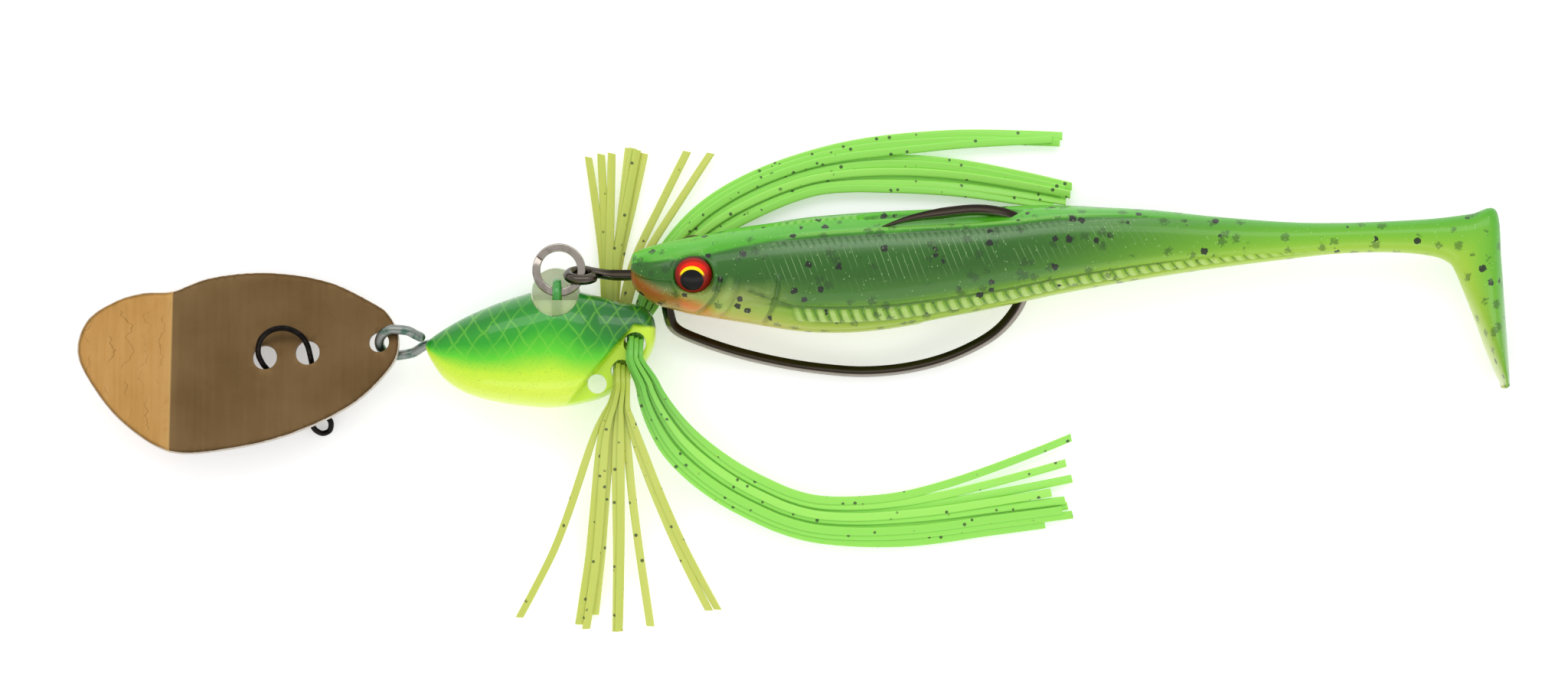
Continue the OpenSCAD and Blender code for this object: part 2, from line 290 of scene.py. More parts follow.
class Value:
    """A shader output that takes Python arithmetic."""
    __add__ = __radd__ = maths("ADD")
    __mul__ = __rmul__ = maths("MULTIPLY")
    __sub__ = maths("SUBTRACT")
    __truediv__ = maths("DIVIDE")
    __abs__ = maths("ABSOLUTE")
    sine = maths("SINE")
    power = maths("POWER")
    most = maths("MAXIMUM")

    def __init__(self, finish, socket):
        self.finish = finish
        self.socket = socket

    def __rsub__(self, other):
        return self.finish.add("ShaderNodeMath", {"operation": "SUBTRACT"}, {0: other, 1: self})

    def rise(self, low, high):
        """0 below low, 1 above high; the other way round if low is the larger."""
        inputs = {"Value": self, "From Min": low, "From Max": high}
        return self.finish.add("ShaderNodeMapRange", {"interpolation_type": "SMOOTHSTEP"}, inputs)

    def band(self, a, b, c, d):
        """0 below a, 1 from b to c and 0 above d."""
        return self.rise(a, b) * self.rise(d, c)


class Finish:
    """One material, built on a Principled shader."""

    def __init__(self, name, **sockets):
        self.material = bpy.data.materials.new(name)
        self.material.use_nodes = True
        self.tree = self.material.node_tree
        self.shader = next(n for n in self.tree.nodes if n.type == "BSDF_PRINCIPLED")
        for key, value in sockets.items():
            self.set(key.replace("_", " "), value)

    def set(self, name, value):
        self.plug(self.shader.inputs[name], value)
        return self

    def plug(self, socket, value):
        if isinstance(value, Value):
            self.tree.links.new(value.socket, socket)
        else:
            socket.default_value = value

    def add(self, kind, settings=None, inputs=None, output=0):
        """Adds a node: its settings first, then the values or links of its inputs."""
        node = self.tree.nodes.new(kind)
        for key, value in (settings or {}).items():
            if key == "stops":
                while len(node.color_ramp.elements) < len(value):
                    node.color_ramp.elements.new(0.5)
                for element, (place, colour) in zip(node.color_ramp.elements, value):
                    element.position = place
                    element.color = colour
            else:
                setattr(node, key, value)
        for key, value in (inputs or {}).items():
            self.plug(node.inputs[key], value)
        return Value(self, node.outputs[output])

    def place(self):
        """Object coordinates in millimetres."""
        where = self.add("ShaderNodeTexCoord", output="Object")
        return self.add("ShaderNodeVectorMath", {"operation": "SCALE"}, {0: where, "Scale": 1 / MM})

    def parts(self, vector):
        split = self.add("ShaderNodeSeparateXYZ", inputs={0: vector})
        node = split.socket.node
        return [Value(self, node.outputs[k]) for k in range(3)]

    def stretched(self, vector, scale=(1, 1, 1), turn=(0, 0, 0)):
        inputs = {"Vector": vector, "Scale": scale, "Rotation": turn}
        return self.add("ShaderNodeMapping", None, inputs)

    def kept(self, name):
        """A point attribute of the piece."""
        return self.add("ShaderNodeAttribute", {"attribute_name": name}, output="Fac")

    def noise(self, vector, scale, detail=3.0):
        inputs = {"Vector": vector, "Scale": scale, "Detail": detail, "Roughness": 0.5}
        return self.add("ShaderNodeTexNoise", None, inputs)

    def cells(self, vector, scale):
        return self.add("ShaderNodeTexVoronoi", None, {"Vector": vector, "Scale": scale}, "Distance")

    def ramp(self, factor, stops):
        stops = [(place, srgb(code)) for place, code in stops]
        return self.add("ShaderNodeValToRGB", {"stops": stops}, {0: factor})

    def mix(self, factor, a, b):
        inputs = {0: factor, 6: srgb(a), 7: srgb(b)}
        return self.add("ShaderNodeMix", {"data_type": "RGBA"}, inputs, 2)

    def paint(self, ground, *layers):
        """The base colour: each (amount, colour) is laid over the ground in turn."""
        for amount, colour in layers:
            ground = self.mix(amount, ground, colour)
        return self.set("Base Color", ground)

    def bump(self, height, depth, strength=1.0):
        """Relief of the given depth in millimetres."""
        inputs = {"Height": height, "Distance": depth * MM, "Strength": strength}
        return self.set("Normal", self.add("ShaderNodeBump", None, inputs))


def brass_finish(settings):
    """Satin brown brass, with the bent front painted brighter as a painted reflection of a softbox, thin
    wavy lines across it, painted shade just inside the outline and a painted highlight along the rim and the
    crease.
    """
    f = Finish("antique brass", Metallic=1.0, IOR=1.6)
    where = f.place()
    across = f.noise(f.stretched(where, (1.6, 0.07, 0.3)), 1.0, 4)
    cloud = f.noise(where, 0.1, 4)
    front = f.kept("front")
    plate = f.ramp(cloud * 0.8 + across * 0.2, [(0.32, "#604a2e"), (0.5, settings.plate), (0.7, "#7b6344")])
    sway = f.noise(f.stretched(where, (0.1, 0.35, 0.1)), 1.0, 3)
    x = f.parts(where)[0]
    line = abs((x * 1.5 + sway * 9).sine()).rise(0.16, 0.02)
    patchy = f.noise(f.stretched(where, (0.5, 0.16, 0.1)), 1.0, 2).rise(0.46, 0.62)
    # Painted highlight: the bent front takes this brighter brass, standing for the softbox it reflects.
    bright = f.ramp(cloud * 0.6 + across * 0.4, [(0.3, "#a67c42"), (0.5, settings.front), (0.7, "#c69b60")])
    bright = f.mix(line * patchy * 0.5, bright, "#7c5c30")
    grit = f.noise(where, 6.0, 2)
    rim = f.kept("rim")
    # Over the plate and front: grit marks, then painted shade just inside the outline, a painted highlight
    # on the rim and a painted highlight along the crease.
    f.paint(f.mix(front, plate, bright), (grit.rise(0.6, 0.75) * 0.18, "#8a6c42"),
            (rim.rise(0.5, 0.15) * 0.5, "#3f2b14"), (rim.rise(0.14, 0.08) * 0.85, "#cfc7bb"),
            (f.kept("crease") * 0.7, "#c9a468"))
    f.set("Roughness", 0.34 + across * 0.14 + grit * 0.06)
    scratch = f.noise(f.stretched(where, (9, 0.5, 1)), 1.0, 2)
    f.bump(scratch - line * front * patchy * 0.5, 0.012, 0.6)
    return f.material


def wire_finish(name, colour, tint, roughness, amount=0.4, dark=None):
    """Drawn and plated wire: fine marks along it, patches of a second colour, and painted shade in a dark
    colour where the piece's dark attribute asks.
    """
    f = Finish(name, Metallic=1.0)
    where = f.place()
    patch = f.noise(where, 0.9, 3).rise(0.42, 0.66) * amount
    # The dark layer is painted shade.
    f.paint(f.mix(patch, colour, tint), *([(f.kept("dark"), dark)] if dark else []))
    f.set("Roughness", roughness + f.noise(where, 3.0, 2) * 0.14)
    f.bump(f.noise(where, 5.0, 2), 0.004, 0.3)
    return f.material


def head_finish(settings):
    """Gloss paint: deep green on the back and rear fades to chartreuse, under a net of pale scale lines; the
    walls of the holes take a painted shade.
    """
    f = Finish("head paint", Coat_Weight=0.7, Coat_Roughness=0.05, Specular_IOR_Level=0.3)
    where = f.place()
    x, y = f.parts(where)[:2]
    low, high = f.kept("low"), f.kept("high")
    drift = f.noise(where, 0.11, 2)
    level = (y - low) / (high - low) + (drift - 0.5) * 0.25
    rear = x.rise(-29, -17)
    level = level + rear * 0.12
    ground = f.ramp(level, [(0.12, "#dcf545"), (0.3, settings.belly), (0.48, "#5cd41a"),
                            (0.64, "#1ba50d"), (0.88, settings.back)])
    pitch = settings.scale_pitch / MM
    sway = (f.noise(where, 0.3, 2) - 0.5) * 1.1
    lines = []
    for slope in (math.radians(34), math.radians(-38)):
        along = x * math.cos(slope) + y * math.sin(slope)
        wave = abs(((along + sway) * (math.pi / pitch)).sine())
        lines.append(wave.rise(0.34, 0.0))
    net = lines[0].most(lines[1])
    fade = level.rise(0.2, 0.5) * f.kept("recess").rise(0.6, 0.1)
    patch = f.noise(where, 0.25, 2).rise(0.3, 0.6)
    dust = f.noise(where, 5.0, 2)
    inner = f.mix(drift.rise(0.3, 0.7) * 0.5, "#d6f53c", "#b4e62e")
    # The last layer is painted shade: dark olive on the walls of the holes.
    f.paint(ground, (rear * level.rise(0.45, 0.8) * 0.9, "#025f1c"),
            (net * fade * (0.13 + patch * 0.24), "#86d936"), (dust.rise(0.56, 0.72) * 0.2, "#0d6a2a"),
            (f.kept("recess"), inner), (f.kept("bore"), "#39501f"))
    f.set("Roughness", 0.3 + drift * 0.1)
    f.bump(net * fade * 0.3 + drift * 0.6, 0.05, 0.35)
    return f.material


def top_wire_finish():
    """Green paint pooled over the wire."""
    f = Finish("painted wire", Coat_Weight=0.8, Coat_Roughness=0.08)
    where = f.place()
    f.paint(f.mix(f.noise(where, 0.8, 3), "#14722c", "#3fae3a"))
    f.set("Roughness", 0.32 + f.noise(where, 2.5, 2) * 0.1)
    return f.material


def bead_finish():
    """Milky silicone that lets what is behind it glow through."""
    f = Finish("milky silicone", IOR=1.41, Transmission_Weight=0.55, Subsurface_Weight=0.3, Coat_Weight=0.3)
    f.set("Subsurface Scale", 1.5 * MM)
    where = f.place()
    cloud = f.noise(where, 0.45, 3)
    f.paint(f.mix(cloud, "#c9dcb4", "#eef5e2"))
    f.set("Roughness", 0.3 + cloud * 0.15)
    f.bump(f.noise(where, 2.0, 2), 0.03, 0.4)
    return f.material


def bait_finish(settings):
    """Glossy soft plastic: green back, dark sides, yellow belly and orange chin, with slanted ribs below
    the crease of the back drawn in painted shade and painted highlight, a painted sheen just below that
    crease, painted shade in the hollows of the relief and painted highlight on its rises, a painted glare on
    the cheek, black flakes at several depths and fine glitter."""
    f = Finish("soft bait plastic", IOR=1.46, Subsurface_Weight=0.08, Coat_Weight=0.45, Coat_Roughness=0.1,
               Specular_IOR_Level=0.35)
    f.set("Subsurface Scale", 1.5 * MM)
    f.set("Subsurface Radius", (0.5, 1.0, 0.2))
    where = f.place()
    x, y = f.parts(where)[:2]
    cloud = f.noise(where, 0.13, 3)
    turn = f.kept("turn") + (cloud - 0.5) * 0.04
    ridge = turn - x.rise(0, -17) * 0.07
    body = f.ramp(ridge, [(0.0, settings.back), (0.165, "#4caa20"), (0.19, "#28690f"),
                          (0.42, settings.side), (0.56, "#3d7812"), (0.63, "#78a820"), (0.8, "#a2c02c"),
                          (1.0, settings.belly)])
    stalk = f.ramp(turn, [(0.0, "#3f9c16"), (0.2, "#55ad20"), (0.5, "#7cbf2a"), (0.7, "#a0cc36"),
                          (1.0, "#b4d048")])
    paddle = (y * -1 + 20).rise(3, 22) * x.rise(70, 77)
    fin = f.ramp(turn, [(0.0, "#4b9420"), (0.45, "#66a226"), (0.68, "#98b22c"), (0.95, "#c6cf7c")])
    # Painted highlight: a pale glare on the lower side behind the nose.
    cheek = turn.rise(0.42, 0.58) * x.rise(2, -7)
    chin = (turn + (-13 - x) * 0.03 + (cloud - 0.5) * 0.15).rise(0.52, 0.7) * x.rise(-4, -11)
    jaw = turn.rise(0.62, 0.85) * x.rise(3, -7)
    # relief also tints the skin: painted shade where it sinks and a painted highlight where it rises.
    relief = f.kept("relief")
    angle = f.kept("turn") * 180
    down = angle - 33
    comb = ((x - down * 0.042) * (2 * math.pi / settings.rib_pitch * MM)).sine()
    short = down.band(0.5, 2.0, 8, 13) * x.band(-5, -1, 26, 36)
    long = down.band(5, 9, 26, 62) * x.band(-5, -1, 30, 50) * f.noise(where, 0.35, 2).rise(0.38, 0.6)
    sheen = down.band(-1, 3, 6, 24) * x.band(-8, 0, 30, 60)
    # reed is painted shade between the ribs under the crease; line is a painted highlight on the long ribs.
    reed = comb.rise(0.35, 0.9) * short
    line = comb.rise(0.82, 0.98) * long
    rib = line - reed
    under = angle - x * CREASE_FALL - CREASE
    row = under.band(0.8, 2.2, 16, 19) * x.band(-1, 1, 50, 60)
    # box ribs: a painted highlight on their tops and painted shade between them.
    box = ((x - under * BOX_LEAN) * (2 * math.pi / BOX_PITCH) + math.pi / 2).sine()
    belly = angle.rise(112, 150) * x.rise(18, -6)
    scale = 1 / (settings.flake_spacing / MM)
    size = settings.flake_size / 2 / MM * scale
    edges = (f.noise(where, 3.2, 1) - 0.5) * 0.22
    group = f.noise(where, 0.16, 1).rise(0.36, 0.44)
    sharp = (f.cells(where, scale) + edges).rise(size * 1.06, size * 0.92) * group
    shifted = f.stretched(where, (1, 1, 1), (0.4, 0.9, 0.2))
    deep = (f.cells(shifted, scale * 0.95) + edges * 2).rise(size * 1.4, size * 0.8)
    specks = f.noise(where, 1.7, 1).rise(0.42, 0.52)
    glitter = f.cells(f.stretched(where, (1, 0.6, 1)), 2.3).rise(0.17, 0.08) * specks
    f.paint(f.mix(x.rise(22, 62), body, stalk), (paddle * 0.9, fin), (cheek * 0.55, "#b9c060"),
            (chin, settings.chin), (jaw * 0.45, "#cf9a44"), (relief.rise(-0.02, -0.22) * 0.5, "#255c14"),
            (relief.rise(0.05, 0.24) * 0.25, "#b6dc74"), (sheen * 0.34, "#8fae86"), (reed * 0.55, "#1f5a14"),
            (line * 0.5, "#97c27e"), (box.rise(-0.2, 0.7) * row * 0.4, "#cfe592"),
            (box.rise(-0.72, -0.97) * row * 0.7, "#3c7718"), (belly * 0.5, "#c4b63a"),
            (deep * 0.55, "#1d4212"), (sharp * 0.95, settings.flake), (glitter * 0.5, "#c4e6a0"))
    f.set("Roughness", 0.32 + cloud * 0.16 + rib * 0.1)
    grain = f.noise(where, 1.1, 4)
    f.bump(grain * 0.4 + rib * 0.8, 0.1, 0.8)
    return f.material


def eye_finish(settings):
    """Printed foil under a clear dome: dark red rim, bright red top, yellow crescent and black pupil."""
    f = Finish("foil eye", Coat_Weight=0.2, Coat_Roughness=0.05, IOR=1.4, Specular_IOR_Level=0.2)
    u, v = f.parts(f.add("ShaderNodeUVMap", {"uv_map": "Disc"}))[:2]

    def ring(cu, cv):
        du, dv = u - cu, v - cv
        return (du * du + dv * dv).power(0.5)

    edge = ring(0.0, 0.0)
    pupil = ring(-0.08, -0.2)
    colour = f.mix(v.rise(-0.1, 0.6), "#8f1c12", settings.foil)
    crescent = ring(-0.07, -0.08).rise(0.7, 0.65) * v.rise(0.0, 0.2)
    f.paint(colour, (edge.rise(0.72, 0.9) * 0.75, "#7d130c"), (crescent, "#ffe600"),
            (pupil.rise(0.64, 0.6), "#040504"), (edge.rise(0.95, 0.99), "#4d2a18"))
    sparkle = f.noise(f.place(), 9.0, 2)
    f.set("Roughness", 0.22 + sparkle * 0.2)
    return f.material


def strand_finish(name, pale, deep, neck):
    """Silicone strip: translucent, paler at its edges, with painted shade near its hole where the strands
    crowd in, and scattered dark specks.
    """
    f = Finish(name, IOR=1.41, Subsurface_Weight=0.15, Coat_Weight=0.3, Coat_Roughness=0.15)
    f.set("Subsurface Scale", 1.0 * MM)
    where = f.place()
    speck = f.cells(where, 0.8).rise(0.2, 0.14) * f.noise(where, 0.5, 1).rise(0.45, 0.52)
    # The layer after the tone is painted shade over the middle of the strand, where it passes its hole.
    f.paint(f.mix(f.kept("tone"), deep, pale), (f.kept("bundle").rise(0.35, 0.0) * 0.8, neck),
            (speck * 0.85, "#20351a"))
    f.set("Roughness", 0.36 + f.noise(where, 2.0, 2) * 0.14)
    f.bump(f.noise(where, 3.0, 2), 0.03, 0.5)
    return f.material


def floor_finish():
    f = Finish("pale floor", Base_Color=(0.93, 0.93, 0.94, 1), Roughness=0.85)
    f.set("Emission Color", (1, 1, 1, 1))
    f.set("Emission Strength", 0.32)
    f.bump(f.noise(f.place(), 0.05, 2), 0.02, 0.1)
    return f.material


# ---------------------------------------------------------------- blade and snap

BLADE_PITCH = -5
BLADE_ROLL = -10
BEND_X = -23.9
BLADE_OUTLINE = [
    (-34, -1.7), (-33, 1.8), (-30.3, 4.1), (-27.3, 5.4), (-23.9, 5.9), (-19.5, 7.5), (-13.1, 8.1),
    (-6.2, 7.1), (-0.8, 4.6), (1.3, 2.9), (2.3, 0.1), (1.4, -2.9), (-2.9, -7.2), (-9.8, -10.6),
    (-17.1, -12.4), (-23.8, -12.7), (-29.1, -9.6), (-32.7, -5.1)]
BLADE_HOLES = [((0, 0), 1.15), ((-13.1, -1.75), 1.4), ((-8.2, -1.2), 1.4)]
SNAP_HALF = [(0, 3.8), (1.6, 3.3), (2.65, 1.95), (2.85, 0.6), (2.6, -0.8), (1.7, -4.2), (0.85, -7.3),
             (0.95, -8.7), (1.05, -9.6), (0.6, -10.4)]
SNAP_END = (0, -10.6)
SNAP_RISE = 36.8
SNAP_LEAN = 17


def from_blade(points):
    """From the blade's own plane, about its eye hole, to the model's frame."""
    p = turned(turned(points, BLADE_ROLL, (1, 0, 0)), BLADE_PITCH, (0, 1, 0))
    return p + NOSE_LOOP - [2, 0, 0]


def blade_mesh():
    """The flat sheet: filled between the outline and the holes, then cut by a grid and at the crease."""
    outline = curve_points(BLADE_OUTLINE, 12, True)
    loops = [outline]
    for (cx, cy), r in BLADE_HOLES:
        a = circle(48)
        loops.append(np.stack([cx + r * np.cos(a), cy + r * np.sin(a)], axis=1))
    edges, start = [], 0
    for loop in loops:
        k = np.arange(len(loop))
        edges += np.stack([start + k, start + (k + 1) % len(loop)], axis=1).tolist()
        start += len(loop)
    flat = np.vstack(loops)
    sheet = bpy.data.meshes.new("blade sheet")
    sheet.from_pydata(np.column_stack([flat, np.zeros(len(flat))]).tolist(), edges, [])
    bm = bmesh.new()
    bm.from_mesh(sheet)
    bmesh.ops.triangle_fill(bm, edges=bm.edges[:], use_beauty=True)
    bmesh.ops.recalc_face_normals(bm, faces=bm.faces[:])
    bend = (BEND_X - 0.12, BEND_X, BEND_X + 0.12)
    cuts = [((x, 0, 0), (1, 0, 0)) for x in (*np.arange(-33.0, 2.2, 1.0), *bend)]
    cuts += [((0, y, 0), (0, 1, 0)) for y in np.arange(-12.0, 8.0, 1.0)]
    for place, way in cuts:
        parts = bm.verts[:] + bm.edges[:] + bm.faces[:]
        bmesh.ops.bisect_plane(bm, geom=parts, plane_co=place, plane_no=way, dist=1e-5)
    if sum(f.normal.z for f in bm.faces) < 0:
        bmesh.ops.reverse_faces(bm, faces=bm.faces[:])
    bm.to_mesh(sheet)
    bm.free()
    return sheet, outline


def blade_piece(settings):
    """The sheet is given its thickness along z, and what lies ahead of the crease is raised by the bend."""
    sheet, outline = blade_mesh()
    obj = linked("blade_plate", sheet)
    wall = obj.modifiers.new("thickness", "SOLIDIFY")
    wall.thickness = settings.thickness / MM
    wall.offset = 0
    mesh = bevelled(obj, settings.edge / MM, 50).data
    p = np.empty(len(mesh.vertices) * 3)
    mesh.vertices.foreach_get("co", p)
    p = p.reshape(-1, 3)
    ahead = np.minimum(p[:, 0] - BEND_X, 0)
    dense = evenly(np.vstack([outline, outline[:1]]), 900)
    rim = np.sqrt(((p[:, None, :2] - dense[None]) ** 2).sum(-1)).min(1)
    # rim and crease place the painted shade and painted highlights along the outline and the bend.
    store(mesh, "rim", rim)
    store(mesh, "crease", hump(p[:, 0], BEND_X - 0.05, 0.1))
    # front marks where the painted highlight of the bent front is laid.
    store(mesh, "front", step(0.0, -0.1, p[:, 0] - BEND_X))
    p[:, 2] -= ahead * math.tan(math.radians(settings.bend))
    mesh.vertices.foreach_set("co", (from_blade(p) * MM).ravel())
    bpy.data.objects.remove(obj)
    return piece("blade_plate", mesh, "blade", brass_finish(settings), ["blade"], 38)


def snap_piece(settings):
    """The snap's wire follows a mirrored outline in its own plane, leant and raised about the two holes."""
    half = np.array(SNAP_HALF)
    other = half[:0:-1] * [-1, 1]
    curve = curve_points(np.vstack([half, [SNAP_END], other]), 12, True)
    outline = evenly(np.vstack([curve, half[:1]]), 200)[:-1]
    path = np.column_stack([outline, np.zeros(len(outline))])
    holes = np.array([hole[0] for hole in BLADE_HOLES[1:]])
    across = holes[1] - holes[0]
    centre = holes.mean(0) - [0, 0.2]
    rings = tube(path, settings.snap / 2 / MM, 14, (0, 0, 1), True)
    p = turned(turned(rings, SNAP_LEAN, (0, 0, 1)), SNAP_RISE, (1, 0, 0))
    p = turned(p, math.degrees(math.atan2(across[1], across[0])), (0, 0, 1)) + [*centre, 0]
    mesh = lattice("snap", from_blade(p), True)
    finish = wire_finish("black nickel wire", "#1b1918", "#3a3430", 0.3)
    return piece("line_snap", mesh, "snap", finish, ["snap"])


# ---------------------------------------------------------------- head and its wires

HEAD_STATIONS = [
    (-42.2, 4.0, 4.6, 0.3), (-41.6, 2.6, 5.1, 1.1), (-40, 0.4, 6.2, 2.2), (-37.5, -1.2, 7.6, 3.4),
    (-34, -2.2, 9.1, 4.6), (-30, -2.75, 10.4, 5.25), (-27.2, -2.8, 11.1, 5.35), (-24.5, -2.4, 10.4, 4.95),
    (-22, -1.7, 9.8, 3.9), (-20, -0.6, 9.2, 3.5), (-18.3, 0.9, 9, 3.1), (-17, 2.4, 8.5, 2.7),
    (-16.2, 3.9, 7.5, 1.8), (-15.9, 5.2, 6.3, 0.5)]
HEAD_POWER = 0.78
PLATE = 4.8
GREEN_HOLE = np.array([-18.3, 4.5])
CHARTREUSE_HOLE = np.array([-19.8, 1.4])
SPARE_HOLE = np.array([-22.6, -0.1])
HOLES = [(GREEN_HOLE, 1.27), (CHARTREUSE_HOLE, 1.22), (SPARE_HOLE, 1.1)]
RECESS_CORNER = np.array([-18.4, 6.6])
RECESS_EDGES = [np.array([-6.3, -7.4]), np.array([6.4, -0.6])]


def recess_depth(x, y):
    """How far a point lies inside both edges of the recess, in millimetres."""
    depths = []
    for edge, sign in zip(RECESS_EDGES, (1, -1)):
        e = edge / np.hypot(*edge)
        depths.append(sign * (e[0] * (y - RECESS_CORNER[1]) - e[1] * (x - RECESS_CORNER[0])))
    return np.minimum(*depths)


def head_piece(settings):
    """Superellipse sections carried along the head; inside the recess their height is held to the plate's,
    with a rounded edge. The cross holes and the bead's saddle are cut through."""
    s = evenly(curve_points(HEAD_STATIONS, 16), 230)
    a = circle(220)
    u, v = blunt(np.cos(a), HEAD_POWER), blunt(np.sin(a), HEAD_POWER)
    x, low, high, half = (s[:, k][:, None] for k in range(4))
    py = (low + high) / 2 + (high - low) / 2 * u
    pz = half * v
    inside = step(-0.22, 0.22, recess_depth(x, py))
    pz = pz + (np.clip(pz, -PLATE / 2, PLATE / 2) - pz) * inside
    rings = np.stack(np.broadcast_arrays(x, py, AXIS_Z + pz), axis=-1)
    mesh = lattice("head", rings, recess=inside, low=low, high=high, bore=0)
    obj = piece("head_casting", mesh, "head", head_finish(settings), ["head"])
    a = circle(64)
    z = AXIS_Z + np.array([[-7.0], [7.0]])
    for place, r in [*HOLES, (BEAD[:2], BEAD_R + 0.05)]:
        wall = np.broadcast_arrays(place[0] + r * np.cos(a), place[1] + r * np.sin(a), z)
        # The drilled walls carry the painted shade of the holes.
        mesh = lattice("drill", np.stack(wall, axis=-1), recess=1, low=0, high=8, bore=1)
        drill = linked("drill", mesh)
        cut = obj.modifiers.new("hole", "BOOLEAN")
        cut.object = drill
        cut.solver = "EXACT"
        settled(obj)
        bpy.data.objects.remove(drill)
    obj.data.set_sharp_from_angle(angle=math.radians(42))
    return obj


BEAD_R = (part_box("bead")[1].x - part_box("bead")[0].x) / 2 / MM
TOP_EYE = np.array([-27.2, 10.0])
TOP_EYE_R = 1.45


def nose_eye_piece(settings):
    """An open loop in a tilted plane: out of the nose, round a half circle and back to a cut end."""
    tilt = math.radians(38)
    a = np.radians(np.arange(-75, 76, 7.5))
    cx, cy = NOSE_LOOP[0], 0
    arc = np.stack([cx - 2 * np.cos(a), cy + 2 * np.sin(a)], axis=1)
    lower = [(-39.5, 0.2), (-41.2, -0.1), (-42.4, -0.5), (-43.8, -1.5)]
    upper = [(-44.3, 1.75), (-43.4, 1.2), (-42.75, 0.8)]
    flat = evenly(curve_points(np.vstack([lower, arc, upper]), 6), 150)
    path = np.column_stack([flat[:, 0], NOSE_LOOP[1] + flat[:, 1] * math.cos(tilt),
                            AXIS_Z + flat[:, 1] * math.sin(tilt)])
    path, radii = rounded(path, settings.nose / 2 / MM)
    rings = tube(path, radii, 20, (0, -math.sin(tilt), math.cos(tilt)))
    finish = wire_finish("tinned wire with paint", "#90948f", "#1a5d45", 0.3, 0.75)
    return piece("nose_eye_wire", lattice("nose eye", rings), "head", finish, ["nose_eye"])


def top_eye_piece(settings):
    """A half circle across the ring's wire, with straight legs down into the head."""
    a = np.radians(np.arange(0, 181, 6))
    legs = np.linspace(-3.4, -0.2, 12)
    y = np.concatenate([legs, TOP_EYE_R * np.sin(a), legs[::-1]])
    z = np.concatenate([np.full(12, TOP_EYE_R), TOP_EYE_R * np.cos(a), np.full(12, -TOP_EYE_R)])
    path = np.column_stack([np.full(len(y), TOP_EYE[0]), TOP_EYE[1] + y, AXIS_Z + z])
    mesh = lattice("top eye", tube(path, settings.top / 2 / MM, 18, (1, 0, 0)))
    return piece("top_eye_wire", mesh, "head", top_wire_finish(), ["top_eye"])


def bead_piece():
    """The CAD bead's own shape, merged, with its edges rounded as moulded silicone."""
    source = frame["nodes"]["bead"]
    obj = linked("silicone_bead", source.data.copy())
    bm = bmesh.new()
    bm.from_mesh(obj.data)
    bmesh.ops.remove_doubles(bm, verts=bm.verts[:], dist=2e-6)
    bmesh.ops.dissolve_limit(bm, angle_limit=math.radians(1.5), verts=bm.verts[:], edges=bm.edges[:])
    bm.to_mesh(obj.data)
    bm.free()
    mesh = bevelled(obj, 0.16 * MM, 35).data
    bpy.data.objects.remove(obj)
    return piece("silicone_bead", mesh, "head", bead_finish(), ["bead"], 40)


# ---------------------------------------------------------------- ring and hook

RING_HEIGHT = 0.53  # of the flat wire
RING_STEP = 0.56  # between the two turns


def ring_piece(settings):
    """Two turns of flat wire: a rounded section carried round twice, stepping up by its own height
    over a short stretch, with its two cut ends left square."""
    width = settings.ring_width / MM
    a = np.linspace(0.06, 4 * math.pi - 0.06, 340)
    r = RING_R - width / 2
    lift = (step(-0.5, 0.5, a - 2 * math.pi) - 0.5) * RING_STEP
    a = a + math.radians(150)
    path = np.column_stack([RING[0] + r * np.cos(a), RING[1] + r * np.sin(a), AXIS_Z + lift])
    corner = circle(24, 0.5)
    cu = blunt(np.cos(corner), 0.45) * width / 2
    cv = blunt(np.sin(corner), 0.45) * RING_HEIGHT / 2
    out = np.column_stack([np.cos(a), np.sin(a), 0 * a])
    mesh = lattice("split ring", swept(path, cu, cv, out, np.array([[0, 0, 1]]))[:, ::-1])
    finish = wire_finish("stainless wire", settings.steel, "#756d64", 0.12, 0.5)
    return piece("split_ring_coils", mesh, "ring", finish, ["split_ring"], 50)


# The hook's line from its shank to its point, about its eye; the point also leans out of the plane
HOOK_ROUTE = [
    (7.6, -0.05), (8.9, -0.8), (9.6, -2.6), (9.9, -4.6), (10.5, -6.3), (12.4, -7.5), (17.1, -9.25),
    (22.3, -10.6), (27.4, -11.45), (32.5, -11.8), (37.7, -11.25), (42.5, -9.8), (46.8, -7.4),
    (49.3, -4.7), (50.6, -1.8), (51.1, 1.4), (51.1, 4.2), (50.2, 6.3), (48.3, 7.6, 0.3), (45, 8.3, 0.9),
    (40.6, 8.05, 1.5), (37.4, 7.6, 1.9), (34.2, 6.7, 2.2)]
HOOK_EYE_R = 1.5
HOOK_LEAD = [(2.35, 0, -0.42), (3.2, 0, -0.12), (4.4, 0, 0)]  # from the eye's closed end onto the shank


